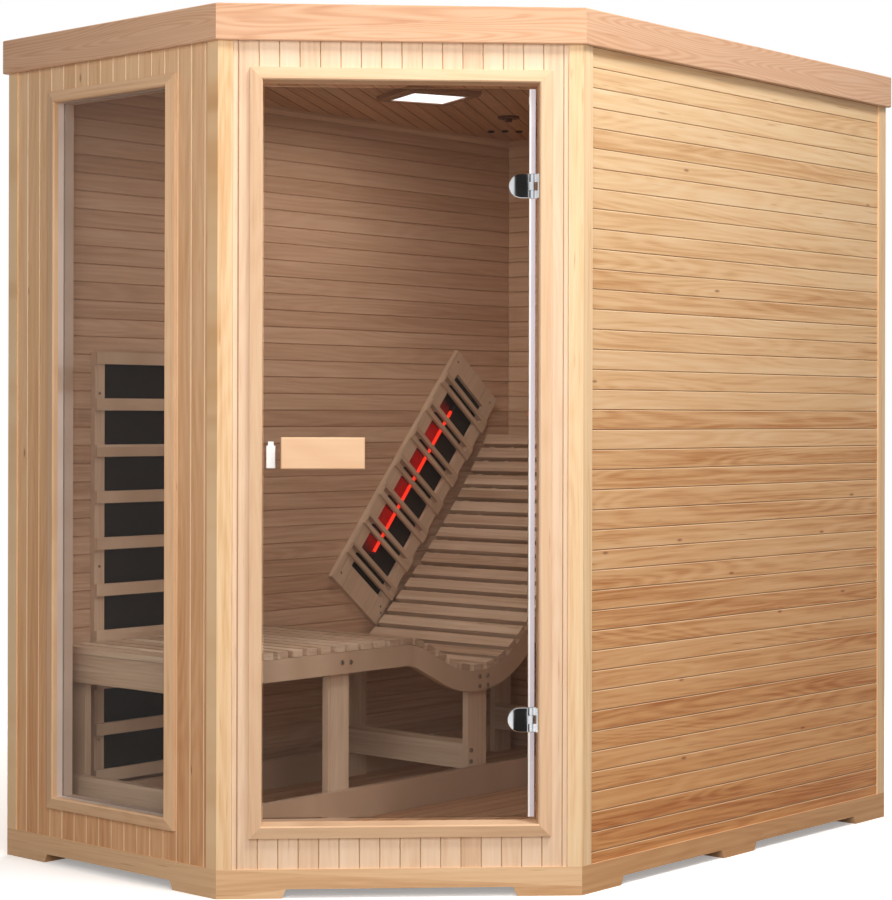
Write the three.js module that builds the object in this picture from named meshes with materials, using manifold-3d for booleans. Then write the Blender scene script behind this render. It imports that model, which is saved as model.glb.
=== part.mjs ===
import * as THREE from 'three';
import { mergeVertices } from 'three/addons/utils/BufferGeometryUtils.js';
import Module from 'manifold-3d';

const wasm = await Module();
wasm.setup();

// Infrared sauna cabin with a slatted lounger, in millimetres.
// +Z is up, the window faces -Y and the door stands on the cut corner between -Y and +X.
// The origin is on the ground under the middle of the cabin.

// Clearance between neighbouring pieces
const GAP = 0.3;
const OVERLAP = 1;

// Cabin
const CABIN_WIDTH = 1270;
const CABIN_DEPTH = 1810;
const CABIN_HEIGHT = 1900;
const CORNER_CUT = 552;
const WALL_THICKNESS = 50;

// Boards
const BOARD_PITCH = 43.4;
const GROOVE_WIDTH = 4;
const GROOVE_DEPTH = 3;

// Corner strips
const STRIP_WIDTH = 32;
const STRIP_THICKNESS = 14;
const STRIP_PROUD = 4;

// Feet, base and floor
const FOOT_HEIGHT = 20;
const FOOT_WIDTH = 60;
const FOOT_ARM = 148;
const FOOT_TAPER = 9;
const MIDDLE_FOOT_LENGTH = 144;
const MIDDLE_FOOT_FROM_DOOR = 526;
const BASE_HEIGHT = 42;
const BASE_RAIL_WIDTH = 80;
const JOIST_WIDTH = 60;
const JOIST_SPACING = 416;
const JOIST_ROWS = [-1, 0, 1];
const FLOOR_THICKNESS = 10;

// Roof and ceiling
const FASCIA_HEIGHT = 78;
const FASCIA_OVERHANG = 10;
const FASCIA_LAP = 4;
const FASCIA_BEVEL = 2;
const ROOF_COVER_THICKNESS = 12;
const CEILING_THICKNESS = 12;
const CEILING_TURN = THREE.MathUtils.degToRad(31);
const CORNICE_SIZE = 16;
const CORNICE_BEVEL = 8;
const AIR_HOLE_RADIUS = 7;
const AIR_HOLES = [[-457, 624], [-422, 643], [-398, 675]];

// Power supply box between ceiling and roof cover
const POWER_BOX_WIDTH = 300;
const POWER_BOX_DEPTH = 200;
const POWER_BOX_HEIGHT = 40;
const POWER_BOX_SETBACK = 25;
const INLET_WIDTH = 48;
const INLET_HEIGHT = 24;

// Mouldings and jambs of the window and the door
const MOULDING_WIDTH = 27;
const MOULDING_PROUD = 10;
const MOULDING_SLOPE = 6;
const MOULDING_LIP = 3;
const MOULDING_ABOVE_BASE = 66;
const MOULDING_BELOW_FASCIA = 56;
const JAMB_THICKNESS = 14;

// Window
const WINDOW_MARGIN_LEFT = 151;
const WINDOW_MARGIN_RIGHT = 133;
const WINDOW_GLASS_SET = 20;
const WINDOW_GLASS_THICKNESS = 6;
const WINDOW_GLASS_BITE = 6;

// Door leaf
const DOOR_MARGIN = 68.3;
const DOOR_GLASS_SET = 16;
const DOOR_GLASS_THICKNESS = 8;
const DOOR_GLASS_BEVEL = 1;
const DOOR_FREE_GAP = 3;
const DOOR_FOOT_GAP = 12;
const DOOR_HEAD_GAP = 11;

// Door pulls and catch
const PULL_LENGTH = 178;
const PULL_HEIGHT = 67;
const PULL_DEPTH = 30;
const PULL_FACE = 16;
const PULL_STEM_INSET = 14;
const PULL_BEVEL = 2;
const PULL_FROM_EDGE = 36.7;
const PULL_RISE = 779.5;
const CATCH_WIDTH = 19;
const CATCH_HEIGHT = 48;
const CATCH_DEPTH = 8;
const CATCH_FROM_EDGE = 5.7;
const CATCH_BELOW_PULL = 8.5;
const CATCH_CAP_WIDTH = 12;
const CATCH_CAP_HEIGHT = 9;
const CATCH_BEVEL = 1;

// Hinges, seal strip
const HINGE_INSET = 208;
const HINGE_HEIGHT = 52;
const HINGE_AXIS_FROM_JAMB = 14;
const KNUCKLE_RADIUS = 6;
const KNUCKLE_GAP = 0.5;
const PIN_RADIUS = 3.3;
const PIN_CLEARANCE = 0.2;
const LEAF_THICKNESS = 3;
const LEAF_DEPTH = 34;
const LEAF_ARM = 6;
const CLAMP_LENGTH = 44;
const CLAMP_PLATE = 4.5;
const CLAMP_BEVEL = 0.8;
const CLAMP_KNUCKLE_HEIGHT = 17.4;
const SEAL_WIDTH = 13;
const SEAL_WEB = 2.4;
const SEAL_BEHIND_KNUCKLE = 0.6;

// Lounger slats
const LOUNGER_WIDTH = 491;
const LOUNGER_TOP = 416;
const LOUNGER_FROM_FRONT = 44;
const LOUNGER_FROM_BACK = 120;
const LOUNGER_FROM_HEATER = 2;
const SLAT_WIDTH = 32;
const SLAT_THICKNESS = 16;
const SLAT_PITCH = 46.6;
const BATTEN_WIDTH = 12;
const BATTEN_DEPTH = 12;
const BATTEN_INSET = 95;

// Lounger curve, from the end of the flat leg part to the top of the back
const CREST_RADIUS = 190;
const DIP_SLOPE = THREE.MathUtils.degToRad(26);
const DIP_STRAIGHT = 98;
const DIP_RADIUS = 225;
const BACK_SLOPE = THREE.MathUtils.degToRad(40);
const BACK_RADIUS = 2500;
const BACK_LENGTH = 710;
const SPLIT_AFTER_CREST = 26;
const CREST_STEPS = 7;
const DIP_STEPS = 20;
const BACK_STEPS = 12;

// Lounger frame
const RAIL_THICKNESS = 20;
const RAIL_DEPTH = 51;
const RAIL_GAP = 0.8;
const RAIL_END = 6;
const FAR_RAIL_INSET = 13;
const LEG_WIDTH = 70;
const LEG_THICKNESS = 18;
const LEG_HEADROOM = 3;
const FIRST_LEG_FROM_FRONT = 416;
const SECOND_LEG_BEFORE_DIP = 12;
const BACK_LEG_BEFORE_TOP = 29;
const FLOOR_RAIL_HEIGHT = 73;
const CROSS_BOARD_RISE = 66;
const CROSS_BOARD_HEIGHT = 72;
const FRONT_BOARD_RISE = 45;
const FRONT_BOARD_INSET = 47;
const APRON_HEIGHT = 66;

// Heater on the left wall beside the legs
const HEATER_DEPTH = 24;
const HEATER_FRAME_DEPTH = 15;
const HEATER_PANEL_THICKNESS = 3;
const WALL_HEATER_FROM_FRONT = 156.5;
const WALL_HEATER_RISE = 78;
const WALL_HEATER_WIDTH = 400;
const WALL_HEATER_STILE = 30;
const WALL_HEATER_SLAT = 29;
const WALL_HEATER_PITCH = 111;
const WALL_HEATER_SLATS = 10;

// Slanted heater on the left wall beside the back
const SLANT_HEATER_FROM_BACK = 407.6;
const SLANT_HEATER_RISE = 763.7;
const SLANT_HEATER_TILT = THREE.MathUtils.degToRad(50.5);
const SLANT_HEATER_LENGTH = 795.6;
const SLANT_HEATER_WIDTH = 222.6;
const SLANT_LOWER_END = 66;
const SLANT_UPPER_END = 54;
const SLANT_LOWER_STILE = 38;
const SLANT_UPPER_STILE = 41.3;
const SLANT_SLAT_WIDTH = 40;
const SLANT_SLAT_PITCH = 98.6;
const SLANT_SLATS = 7;
const SLANT_SLOT_WIDTH = 16;
const SLANT_SLOT_LENGTH = 194;
const SLANT_SLOT_SHIFT = 9.5;
const SLANT_PANEL_LAP = 12;
const TUBE_RADIUS = 4.5;
const TUBE_LENGTH = 540;
const TUBE_SHIFT_ALONG = 1;
const TUBE_SHIFT_ACROSS = 18.7;
const TUBE_CAP_RADIUS = 5;
const TUBE_CAP_LENGTH = 21.5;
const TUBE_FROM_PANEL = 5.4;

// Ceiling lamp
const LAMP_PLACE = [-111, -22];
const LAMP_TURN = THREE.MathUtils.degToRad(-22.5);
const LAMP_SIZE = 195;
const LAMP_LENS_SIZE = 146;
const LAMP_DEPTH = 14;
const LAMP_BEVEL = 5;
const LAMP_LENS_THICKNESS = 6;
const LAMP_LENS_LAP = 6;
const LAMP_LENS_SET = 3;

// Ceiling vent: a turning disc whose holes meet holes in the ceiling
const VENT_PLACE = [-231, 430];
const VENT_RADIUS = 29;
const VENT_THICKNESS = 5;
const VENT_KNOB_RADIUS = 9;
const VENT_KNOB_HEIGHT = 9;
const VENT_SPINDLE_RADIUS = 4;
const VENT_SPINDLE_LENGTH = 8;
const VENT_HOLE_RADIUS = 5.5;
const VENT_HOLE_CIRCLE = 19;
const VENT_HOLES = 4;
const ROUND_SIDES = 24;
const HOLE_SIDES = 12;

// Control panel inside the right wall
const PANEL_WIDTH = 160;
const PANEL_HEIGHT = 100;
const PANEL_DEPTH = 18;
const PANEL_BEVEL = 2;
const PANEL_FROM_DOOR = 350;
const PANEL_RISE = 1178;
const BUTTON_RADIUS = 10;
const BUTTON_BEVEL = 1;
const BUTTON_PROUD = 3;
const BUTTON_TRAVEL = 1.5;
const BUTTON_LENGTH = 11;
const BUTTON_SPACING = 60;
const BUTTON_DROP = 22;

// Levels that follow from the sizes above
const BASE_TOP = FOOT_HEIGHT + BASE_HEIGHT;
const FLOOR_TOP = BASE_TOP + FLOOR_THICKNESS;
const FASCIA_BOTTOM = CABIN_HEIGHT - FASCIA_HEIGHT;
const WALL_TOP = FASCIA_BOTTOM + FASCIA_LAP;
const CEILING_TOP = WALL_TOP + CEILING_THICKNESS;
const COVER_BOTTOM = CABIN_HEIGHT - ROOF_COVER_THICKNESS;
const STAND_LEVEL = FLOOR_TOP + GAP;

// Looks
const DOOR_WOOD = { color: 0xe3c3a2, roughness: 0.55, metalness: 0 };
const WINDOW_WOOD = { color: 0xd9b98f, roughness: 0.55, metalness: 0 };
const SIDE_WOOD = { color: 0xdca873, roughness: 0.55, metalness: 0 };
const STRIP_WOOD = { color: 0xe9cb9c, roughness: 0.5, metalness: 0 };
const ROOF_WOOD = { color: 0xdbb28c, roughness: 0.55, metalness: 0 };
const INNER_WOOD = { color: 0xd0a070, roughness: 0.6, metalness: 0 };
const SLAT_WOOD = { color: 0xd8ac7c, roughness: 0.55, metalness: 0 };
const TINTED_GLASS = { color: 0x6a4a35, roughness: 0.05, metalness: 0, transparent: true, opacity: 0.35 };
const CHROME = { color: 0xd6d8db, roughness: 0.12, metalness: 1 };
const BLACK_PANEL = { color: 0x18130f, roughness: 0.7, metalness: 0 };
const RED_TUBE = { color: 0xff3a20, roughness: 0.3, metalness: 0, emissive: 0xd01808 };
const SEAL_PLASTIC = { color: 0xb3a9b4, roughness: 0.35, metalness: 0 };
const WHITE_PLASTIC = { color: 0xf0efec, roughness: 0.4, metalness: 0 };
const LAMP_LENS = { color: 0xfff3dc, roughness: 0.3, metalness: 0, emissive: 0xffe2b0 };
const DARK_PLASTIC = { color: 0x26211d, roughness: 0.45, metalness: 0 };
const GREY_METAL = { color: 0x8d9093, roughness: 0.45, metalness: 0.6 };

const X_AXIS = new THREE.Vector3(1, 0, 0);
const Y_AXIS = new THREE.Vector3(0, 1, 0);
const Z_AXIS = new THREE.Vector3(0, 0, 1);
const WELD = 1e-4;

const cabin = new THREE.Group();

function piece(parent, name, geometry, look) {
  const mesh = new THREE.Mesh(geometry, new THREE.MeshStandardMaterial(look));
  mesh.name = name;
  parent.add(mesh);
}

// Solids that can be cut and joined

function solidOf(geometry) {
  const bare = geometry.clone();
  bare.deleteAttribute('normal');
  bare.deleteAttribute('uv');
  const welded = mergeVertices(bare, WELD);
  const mesh = new wasm.Mesh({
    numProp: 3,
    vertProperties: new Float32Array(welded.attributes.position.array),
    triVerts: new Uint32Array(welded.index.array),
  });
  return new wasm.Manifold(mesh);
}

function geometryOf(solid) {
  const mesh = solid.getMesh();
  const geometry = new THREE.BufferGeometry();
  geometry.setAttribute('position', new THREE.BufferAttribute(new Float32Array(mesh.vertProperties), 3));
  geometry.setIndex(new THREE.BufferAttribute(new Uint32Array(mesh.triVerts), 1));
  geometry.computeVertexNormals();
  return geometry;
}

function joined(geometries) {
  return geometryOf(geometries.map(solidOf).reduce((whole, next) => whole.add(next)));
}

function cut(geometry, cutters) {
  return geometryOf(cutters.map(solidOf).reduce((whole, next) => whole.subtract(next), solidOf(geometry)));
}

function common(first, second) {
  return geometryOf(solidOf(first).intersect(solidOf(second)));
}

// Basic shapes

function block([x0, x1], [y0, y1], [z0, z1]) {
  const box = new THREE.BoxGeometry(x1 - x0, y1 - y0, z1 - z0);
  return box.translate((x0 + x1) / 2, (y0 + y1) / 2, (z0 + z1) / 2);
}

function extruded(points, depth, bevel = 0) {
  const outline = new THREE.Shape(points.map(([x, y]) => new THREE.Vector2(x, y)));
  const settings = {
    depth: depth - 2 * bevel,
    bevelEnabled: bevel > 0,
    bevelThickness: bevel,
    bevelSize: bevel,
    bevelOffset: -bevel,
    bevelSegments: 1,
  };
  return new THREE.ExtrudeGeometry(outline, settings).translate(0, 0, bevel);
}

// An outline in plan, raised from one level to another.
function prism(points, [z0, z1], bevel = 0) {
  return extruded(points, z1 - z0, bevel).translate(0, 0, z0);
}

// An outline seen from the front (x, z), running through a range of y.
function plate(points, [y0, y1], bevel = 0) {
  const turned = new THREE.Matrix4().makeBasis(X_AXIS, Z_AXIS, Y_AXIS.clone().negate());
  return extruded(points, y1 - y0, bevel).applyMatrix4(turned).translate(0, y1, 0);
}

// An outline seen from the side (y, z), running through a range of x.
function sideways(points, [x0, x1]) {
  const turned = new THREE.Matrix4().makeBasis(Y_AXIS, Z_AXIS, X_AXIS);
  return extruded(points, x1 - x0).applyMatrix4(turned).translate(x0, 0, 0);
}

function rectangle([x0, x1], [y0, y1]) {
  return [[x0, y0], [x1, y0], [x1, y1], [x0, y1]];
}

// A round rod along Z.
function rod(radius, [z0, z1], sides = ROUND_SIDES) {
  const cylinder = new THREE.CylinderGeometry(radius, radius, z1 - z0, sides);
  return cylinder.rotateX(Math.PI / 2).translate(0, 0, (z0 + z1) / 2);
}

// Points of a straight edge with a V groove at every line.
function grooved(lines, face, depth) {
  return lines.flatMap((line) => [
    [line - GROOVE_WIDTH / 2, face],
    [line, face + depth],
    [line + GROOVE_WIDTH / 2, face],
  ]);
}

function boardLines(from, to, start, pitch) {
  const lines = [];
  const first = Math.ceil((from + GROOVE_WIDTH - start) / pitch);
  for (let k = first; start + k * pitch < to - GROOVE_WIDTH; k += 1) {
    lines.push(start + k * pitch);
  }
  return lines;
}

// A mitred ring: every profile point [inset, height] goes once round all corners.
function mitredRing(profile, cornersAt, pointAt) {
  const loops = profile.map(([inset, height]) => cornersAt(inset).map((corner) => pointAt(corner, height)));
  const sides = loops[0].length;
  const triangles = [];
  loops.forEach((loop, a) => {
    const b = (a + 1) % loops.length;
    loop.forEach((corner, c) => {
      const d = (c + 1) % sides;
      triangles.push(a * sides + c, a * sides + d, b * sides + d);
      triangles.push(a * sides + c, b * sides + d, b * sides + c);
    });
  });
  const geometry = new THREE.BufferGeometry();
  geometry.setAttribute('position', new THREE.Float32BufferAttribute(loops.flat(2), 3));
  geometry.setIndex(triangles);
  geometry.computeVertexNormals();
  return geometry;
}

function wallRing([x0, x1], [z0, z1], profile) {
  const cornersAt = (inset) => rectangle([x0 + inset, x1 - inset], [z0 + inset, z1 - inset]);
  return mitredRing(profile, cornersAt, ([x, z], y) => [x, y, z]);
}

function planRing(profile) {
  return mitredRing(profile, insetPlan, ([x, y], z) => [x, y, z]);
}

// Plan of the cabin: five corners, counter-clockwise from the front left one

const HALF_WIDTH = CABIN_WIDTH / 2;
const HALF_DEPTH = CABIN_DEPTH / 2;
const PLAN = [
  new THREE.Vector2(-HALF_WIDTH, -HALF_DEPTH),
  new THREE.Vector2(HALF_WIDTH - CORNER_CUT, -HALF_DEPTH),
  new THREE.Vector2(HALF_WIDTH, CORNER_CUT - HALF_DEPTH),
  new THREE.Vector2(HALF_WIDTH, HALF_DEPTH),
  new THREE.Vector2(-HALF_WIDTH, HALF_DEPTH),
];

function sideAfter(corner) {
  return PLAN[(corner + 1) % PLAN.length].clone().sub(PLAN[corner]);
}

function sideBefore(corner) {
  return sideAfter((corner + PLAN.length - 1) % PLAN.length);
}

// Distance that a mitre runs along a side for each millimetre of depth.
function mitreRun(corner) {
  const turn = sideAfter(corner).angle() - sideBefore(corner).angle();
  return Math.tan(THREE.MathUtils.euclideanModulo(turn, 2 * Math.PI) / 2);
}

function insetPlan(distance) {
  return PLAN.map((corner, index) => {
    const along = sideAfter(index).normalize();
    const run = distance * mitreRun(index);
    return [corner.x + along.x * run - along.y * distance, corner.y + along.y * run + along.x * distance];
  });
}

// Each side has its own frame: x along the side, y inwards from the outer face, z up.
function sideGroup(corner) {
  const group = new THREE.Group();
  group.position.set(PLAN[corner].x, PLAN[corner].y, 0);
  group.rotation.z = sideAfter(corner).angle();
  group.updateMatrixWorld(true);
  cabin.add(group);
  return group;
}

const sides = PLAN.map((corner, index) => sideGroup(index));
const lengths = PLAN.map((corner, index) => sideAfter(index).length());
const [windowSide, doorSide, rightSide] = sides;
const [windowLength, doorLength] = lengths;

// Feet, base frame and floor

function footArm(side, [from, to], taperFrom, taperTo) {
  const outline = [[from + taperFrom, 0], [to - taperTo, 0], [to, FOOT_HEIGHT], [from, FOOT_HEIGHT]];
  return plate(outline, [0, FOOT_WIDTH]).applyMatrix4(sides[side].matrixWorld);
}

function cornerFoot(corner, armBefore, armAfter) {
  const before = (corner + PLAN.length - 1) % PLAN.length;
  return joined([
    footArm(before, [lengths[before] - armBefore, lengths[before]], FOOT_TAPER, 0),
    footArm(corner, [0, armAfter], 0, FOOT_TAPER),
  ]);
}

piece(cabin, 'foot_front_left', cornerFoot(0, FOOT_ARM, FOOT_ARM), STRIP_WOOD);
piece(cabin, 'foot_door_left', cornerFoot(1, FOOT_ARM, FOOT_ARM), STRIP_WOOD);
piece(cabin, 'foot_door_right', cornerFoot(2, FOOT_ARM, FOOT_ARM), STRIP_WOOD);
piece(cabin, 'foot_back_right', cornerFoot(3, FOOT_ARM, FOOT_ARM), STRIP_WOOD);
piece(cabin, 'foot_back_left', cornerFoot(4, FOOT_ARM, FOOT_ARM), STRIP_WOOD);
const middleFootRange = [MIDDLE_FOOT_FROM_DOOR, MIDDLE_FOOT_FROM_DOOR + MIDDLE_FOOT_LENGTH];
piece(cabin, 'foot_right_middle', footArm(2, middleFootRange, FOOT_TAPER, FOOT_TAPER), STRIP_WOOD);

function baseFrame() {
  const levels = [FOOT_HEIGHT, BASE_TOP];
  const hollow = prism(insetPlan(BASE_RAIL_WIDTH), [FOOT_HEIGHT - OVERLAP, BASE_TOP + OVERLAP]);
  const ring = cut(prism(insetPlan(0), levels), [hollow]);
  const reach = prism(insetPlan(BASE_RAIL_WIDTH / 2), levels);
  const joists = JOIST_ROWS.map((row) => {
    const middle = row * JOIST_SPACING;
    const across = [middle - JOIST_WIDTH / 2, middle + JOIST_WIDTH / 2];
    return common(block([-HALF_WIDTH, HALF_WIDTH], across, levels), reach);
  });
  return joined([ring, ...joists]);
}

function floorPanel() {
  const lines = boardLines(-HALF_WIDTH + WALL_THICKNESS, HALF_WIDTH - WALL_THICKNESS, 0, BOARD_PITCH);
  const section = [
    [-HALF_WIDTH, BASE_TOP],
    [HALF_WIDTH, BASE_TOP],
    [HALF_WIDTH, FLOOR_TOP],
    ...grooved(lines, FLOOR_TOP, -GROOVE_DEPTH).reverse(),
    [-HALF_WIDTH, FLOOR_TOP],
  ];
  const boards = plate(section, [-HALF_DEPTH, HALF_DEPTH]);
  return common(boards, prism(insetPlan(WALL_THICKNESS + GAP), [BASE_TOP - OVERLAP, FLOOR_TOP + OVERLAP]));
}

piece(cabin, 'base_frame', baseFrame(), STRIP_WOOD);
piece(cabin, 'floor_panel', floorPanel(), INNER_WOOD);

// Walls and corner strips

const levelLines = boardLines(BASE_TOP, WALL_TOP, FASCIA_BOTTOM, BOARD_PITCH);

function wallPlan(corner, uprightLines) {
  const length = lengths[corner];
  const startRun = mitreRun(corner);
  const endRun = mitreRun((corner + 1) % PLAN.length);
  const rebate = STRIP_THICKNESS + GAP;
  const shoulder = STRIP_WIDTH + GAP;
  return [
    [shoulder, STRIP_PROUD],
    ...grooved(uprightLines, STRIP_PROUD, GROOVE_DEPTH),
    [length - shoulder, STRIP_PROUD],
    [length - shoulder, rebate],
    [length - rebate * endRun - GAP, rebate],
    [length - WALL_THICKNESS * endRun - GAP, WALL_THICKNESS],
    [WALL_THICKNESS * startRun + GAP, WALL_THICKNESS],
    [rebate * startRun + GAP, rebate],
    [shoulder, rebate],
  ];
}

function wallSection(outsideLines) {
  const swap = ([z, y]) => [y, z];
  return [
    [WALL_THICKNESS, BASE_TOP],
    ...grooved(levelLines, WALL_THICKNESS, -GROOVE_DEPTH).map(swap),
    [WALL_THICKNESS, WALL_TOP],
    [STRIP_PROUD, WALL_TOP],
    ...grooved(outsideLines, STRIP_PROUD, GROOVE_DEPTH).map(swap).reverse(),
    [STRIP_PROUD, BASE_TOP],
  ];
}

function wall(corner, uprightLines, outsideLines) {
  const plan = prism(wallPlan(corner, uprightLines), [BASE_TOP - OVERLAP, WALL_TOP + OVERLAP]);
  return common(sideways(wallSection(outsideLines), [0, lengths[corner]]), plan);
}

function uprightLines(length, start) {
  return boardLines(STRIP_WIDTH + GAP, length - STRIP_WIDTH - GAP, start, BOARD_PITCH);
}

const openingLevels = [
  BASE_TOP + MOULDING_ABOVE_BASE + MOULDING_WIDTH,
  FASCIA_BOTTOM - MOULDING_BELOW_FASCIA - MOULDING_WIDTH,
];
const windowOpening = [
  WINDOW_MARGIN_LEFT + MOULDING_WIDTH,
  windowLength - WINDOW_MARGIN_RIGHT - MOULDING_WIDTH,
];
const doorOpening = [DOOR_MARGIN + MOULDING_WIDTH, doorLength - DOOR_MARGIN - MOULDING_WIDTH];

function grown([from, to], amount) {
  return [from - amount, to + amount];
}

function wallHole(opening) {
  const margin = JAMB_THICKNESS + GAP;
  return block(grown(opening, margin), [-OVERLAP, WALL_THICKNESS + OVERLAP], grown(openingLevels, margin));
}

const windowBoards = wall(0, uprightLines(windowLength, windowLength), []);
const doorBoards = wall(1, uprightLines(doorLength, 0), []);
piece(windowSide, 'window_wall', cut(windowBoards, [wallHole(windowOpening)]), WINDOW_WOOD);
piece(doorSide, 'door_wall', cut(doorBoards, [wallHole(doorOpening)]), DOOR_WOOD);
piece(rightSide, 'right_wall', wall(2, [], levelLines), SIDE_WOOD);
piece(sides[3], 'back_wall', wall(3, [], levelLines), SIDE_WOOD);
piece(sides[4], 'left_wall', wall(4, [], levelLines), SIDE_WOOD);

// A strip is folded round a corner: the outer edge and the same edge moved inwards.
function cornerStrip(corner) {
  const after = sideAfter(corner).normalize().multiplyScalar(STRIP_WIDTH);
  const before = sideBefore(corner).normalize().multiplyScalar(-STRIP_WIDTH);
  const [inX, inY] = insetPlan(STRIP_THICKNESS)[corner];
  const { x, y } = PLAN[corner];
  const depth = STRIP_THICKNESS / STRIP_WIDTH;
  const outline = [
    [x, y],
    [x + after.x, y + after.y],
    [x + after.x - after.y * depth, y + after.y + after.x * depth],
    [inX, inY],
    [x + before.x + before.y * depth, y + before.y - before.x * depth],
    [x + before.x, y + before.y],
  ];
  return prism(outline, [BASE_TOP, WALL_TOP]);
}

piece(cabin, 'corner_strip_front_left', cornerStrip(0), STRIP_WOOD);
piece(cabin, 'corner_strip_door_left', cornerStrip(1), STRIP_WOOD);
piece(cabin, 'corner_strip_door_right', cornerStrip(2), STRIP_WOOD);
piece(cabin, 'corner_strip_back_right', cornerStrip(3), STRIP_WOOD);
piece(cabin, 'corner_strip_back_left', cornerStrip(4), STRIP_WOOD);

// Roof: boarded ceiling on the walls, fascia round it, cover flush with the top

function ventHoles(radius, levels) {
  return Array.from({ length: VENT_HOLES }, (unused, index) => {
    const turn = (index * 2 * Math.PI) / VENT_HOLES;
    const x = VENT_HOLE_CIRCLE * Math.cos(turn);
    const y = VENT_HOLE_CIRCLE * Math.sin(turn);
    return rod(radius, levels, HOLE_SIDES).translate(x, y, 0);
  });
}

function ceilingPanel() {
  const reach = CABIN_WIDTH + CABIN_DEPTH;
  const lines = boardLines(-reach / 2, reach / 2, 0, BOARD_PITCH);
  const section = [
    [-reach / 2, WALL_TOP],
    ...grooved(lines, WALL_TOP, GROOVE_DEPTH),
    [reach / 2, WALL_TOP],
    [reach / 2, CEILING_TOP],
    [-reach / 2, CEILING_TOP],
  ];
  const boards = plate(section, [-reach / 2, reach / 2]).rotateZ(CEILING_TURN);
  const levels = [WALL_TOP - OVERLAP, CEILING_TOP + OVERLAP];
  const trimmed = common(boards, prism(insetPlan(0), levels));
  const airHoles = AIR_HOLES.map(([x, y]) => rod(AIR_HOLE_RADIUS, levels, HOLE_SIDES).translate(x, y, 0));
  const spindleHole = rod(VENT_SPINDLE_RADIUS + GAP, levels, HOLE_SIDES);
  const ventCutters = [spindleHole, ...ventHoles(VENT_HOLE_RADIUS, levels)];
  ventCutters.forEach((cutter) => cutter.translate(...VENT_PLACE, 0));
  return cut(trimmed, [...airHoles, ...ventCutters]);
}

const powerBoxBack = HALF_DEPTH - POWER_BOX_SETBACK;
const inletBottom = CEILING_TOP + (POWER_BOX_HEIGHT - INLET_HEIGHT) / 2;
const inletAcross = [-INLET_WIDTH / 2, INLET_WIDTH / 2];
const inletLevels = [inletBottom, inletBottom + INLET_HEIGHT];

function roofFascia() {
  const ring = planRing([
    [-GAP, CABIN_HEIGHT],
    [-GAP, FASCIA_BOTTOM],
    [-FASCIA_OVERHANG + FASCIA_BEVEL, FASCIA_BOTTOM],
    [-FASCIA_OVERHANG, FASCIA_BOTTOM + FASCIA_BEVEL],
    [-FASCIA_OVERHANG, CABIN_HEIGHT - FASCIA_BEVEL],
    [-FASCIA_OVERHANG + FASCIA_BEVEL, CABIN_HEIGHT],
  ]);
  const inletHole = block(
    grown(inletAcross, GAP),
    [powerBoxBack, HALF_DEPTH + 2 * FASCIA_OVERHANG],
    grown(inletLevels, GAP),
  );
  return cut(ring, [inletHole]);
}

function powerSupplyBox() {
  const back = [powerBoxBack - POWER_BOX_DEPTH, powerBoxBack];
  const levels = [CEILING_TOP, CEILING_TOP + POWER_BOX_HEIGHT];
  const box = block([-POWER_BOX_WIDTH / 2, POWER_BOX_WIDTH / 2], back, levels);
  const inlet = block(inletAcross, [powerBoxBack - OVERLAP, HALF_DEPTH + FASCIA_OVERHANG - GAP], inletLevels);
  return joined([box, inlet]);
}

function ceilingCornice() {
  return planRing([
    [WALL_THICKNESS + GAP, WALL_TOP],
    [WALL_THICKNESS + CORNICE_SIZE, WALL_TOP],
    [WALL_THICKNESS + CORNICE_SIZE, WALL_TOP - CORNICE_SIZE + CORNICE_BEVEL],
    [WALL_THICKNESS + CORNICE_SIZE - CORNICE_BEVEL, WALL_TOP - CORNICE_SIZE],
    [WALL_THICKNESS + GAP, WALL_TOP - CORNICE_SIZE],
  ]);
}

piece(cabin, 'ceiling_panel', ceilingPanel(), INNER_WOOD);
piece(cabin, 'ceiling_cornice', ceilingCornice(), INNER_WOOD);
piece(cabin, 'roof_fascia', roofFascia(), ROOF_WOOD);
piece(cabin, 'roof_cover', prism(insetPlan(0), [COVER_BOTTOM, CABIN_HEIGHT]), ROOF_WOOD);
piece(cabin, 'power_supply_box', powerSupplyBox(), GREY_METAL);

// Mouldings and jambs

function moulding(opening) {
  const back = STRIP_PROUD - GAP;
  const front = -MOULDING_PROUD;
  return wallRing(grown(opening, MOULDING_WIDTH), grown(openingLevels, MOULDING_WIDTH), [
    [0, back],
    [0, front + MOULDING_SLOPE],
    [MOULDING_WIDTH - MOULDING_LIP, front],
    [MOULDING_WIDTH, front + MOULDING_LIP],
    [MOULDING_WIDTH, back],
  ]);
}

function jamb(opening, rebate) {
  return wallRing(grown(opening, JAMB_THICKNESS), grown(openingLevels, JAMB_THICKNESS), [
    [0, WALL_THICKNESS],
    [0, STRIP_PROUD],
    [JAMB_THICKNESS, STRIP_PROUD],
    ...rebate,
    [JAMB_THICKNESS, WALL_THICKNESS],
  ]);
}

// Window

const windowGlassBack = WINDOW_GLASS_SET + WINDOW_GLASS_THICKNESS;
const windowRebate = [
  [JAMB_THICKNESS, WINDOW_GLASS_SET - GAP],
  [JAMB_THICKNESS - WINDOW_GLASS_BITE - GAP, WINDOW_GLASS_SET - GAP],
  [JAMB_THICKNESS - WINDOW_GLASS_BITE - GAP, windowGlassBack + GAP],
  [JAMB_THICKNESS, windowGlassBack + GAP],
];
const windowPane = rectangle(
  grown(windowOpening, WINDOW_GLASS_BITE),
  grown(openingLevels, WINDOW_GLASS_BITE),
);
piece(windowSide, 'window_moulding', moulding(windowOpening), WINDOW_WOOD);
piece(windowSide, 'window_jamb', jamb(windowOpening, windowRebate), WINDOW_WOOD);
piece(windowSide, 'window_glass', plate(windowPane, [WINDOW_GLASS_SET, windowGlassBack]), TINTED_GLASS);

// Door leaf

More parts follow.
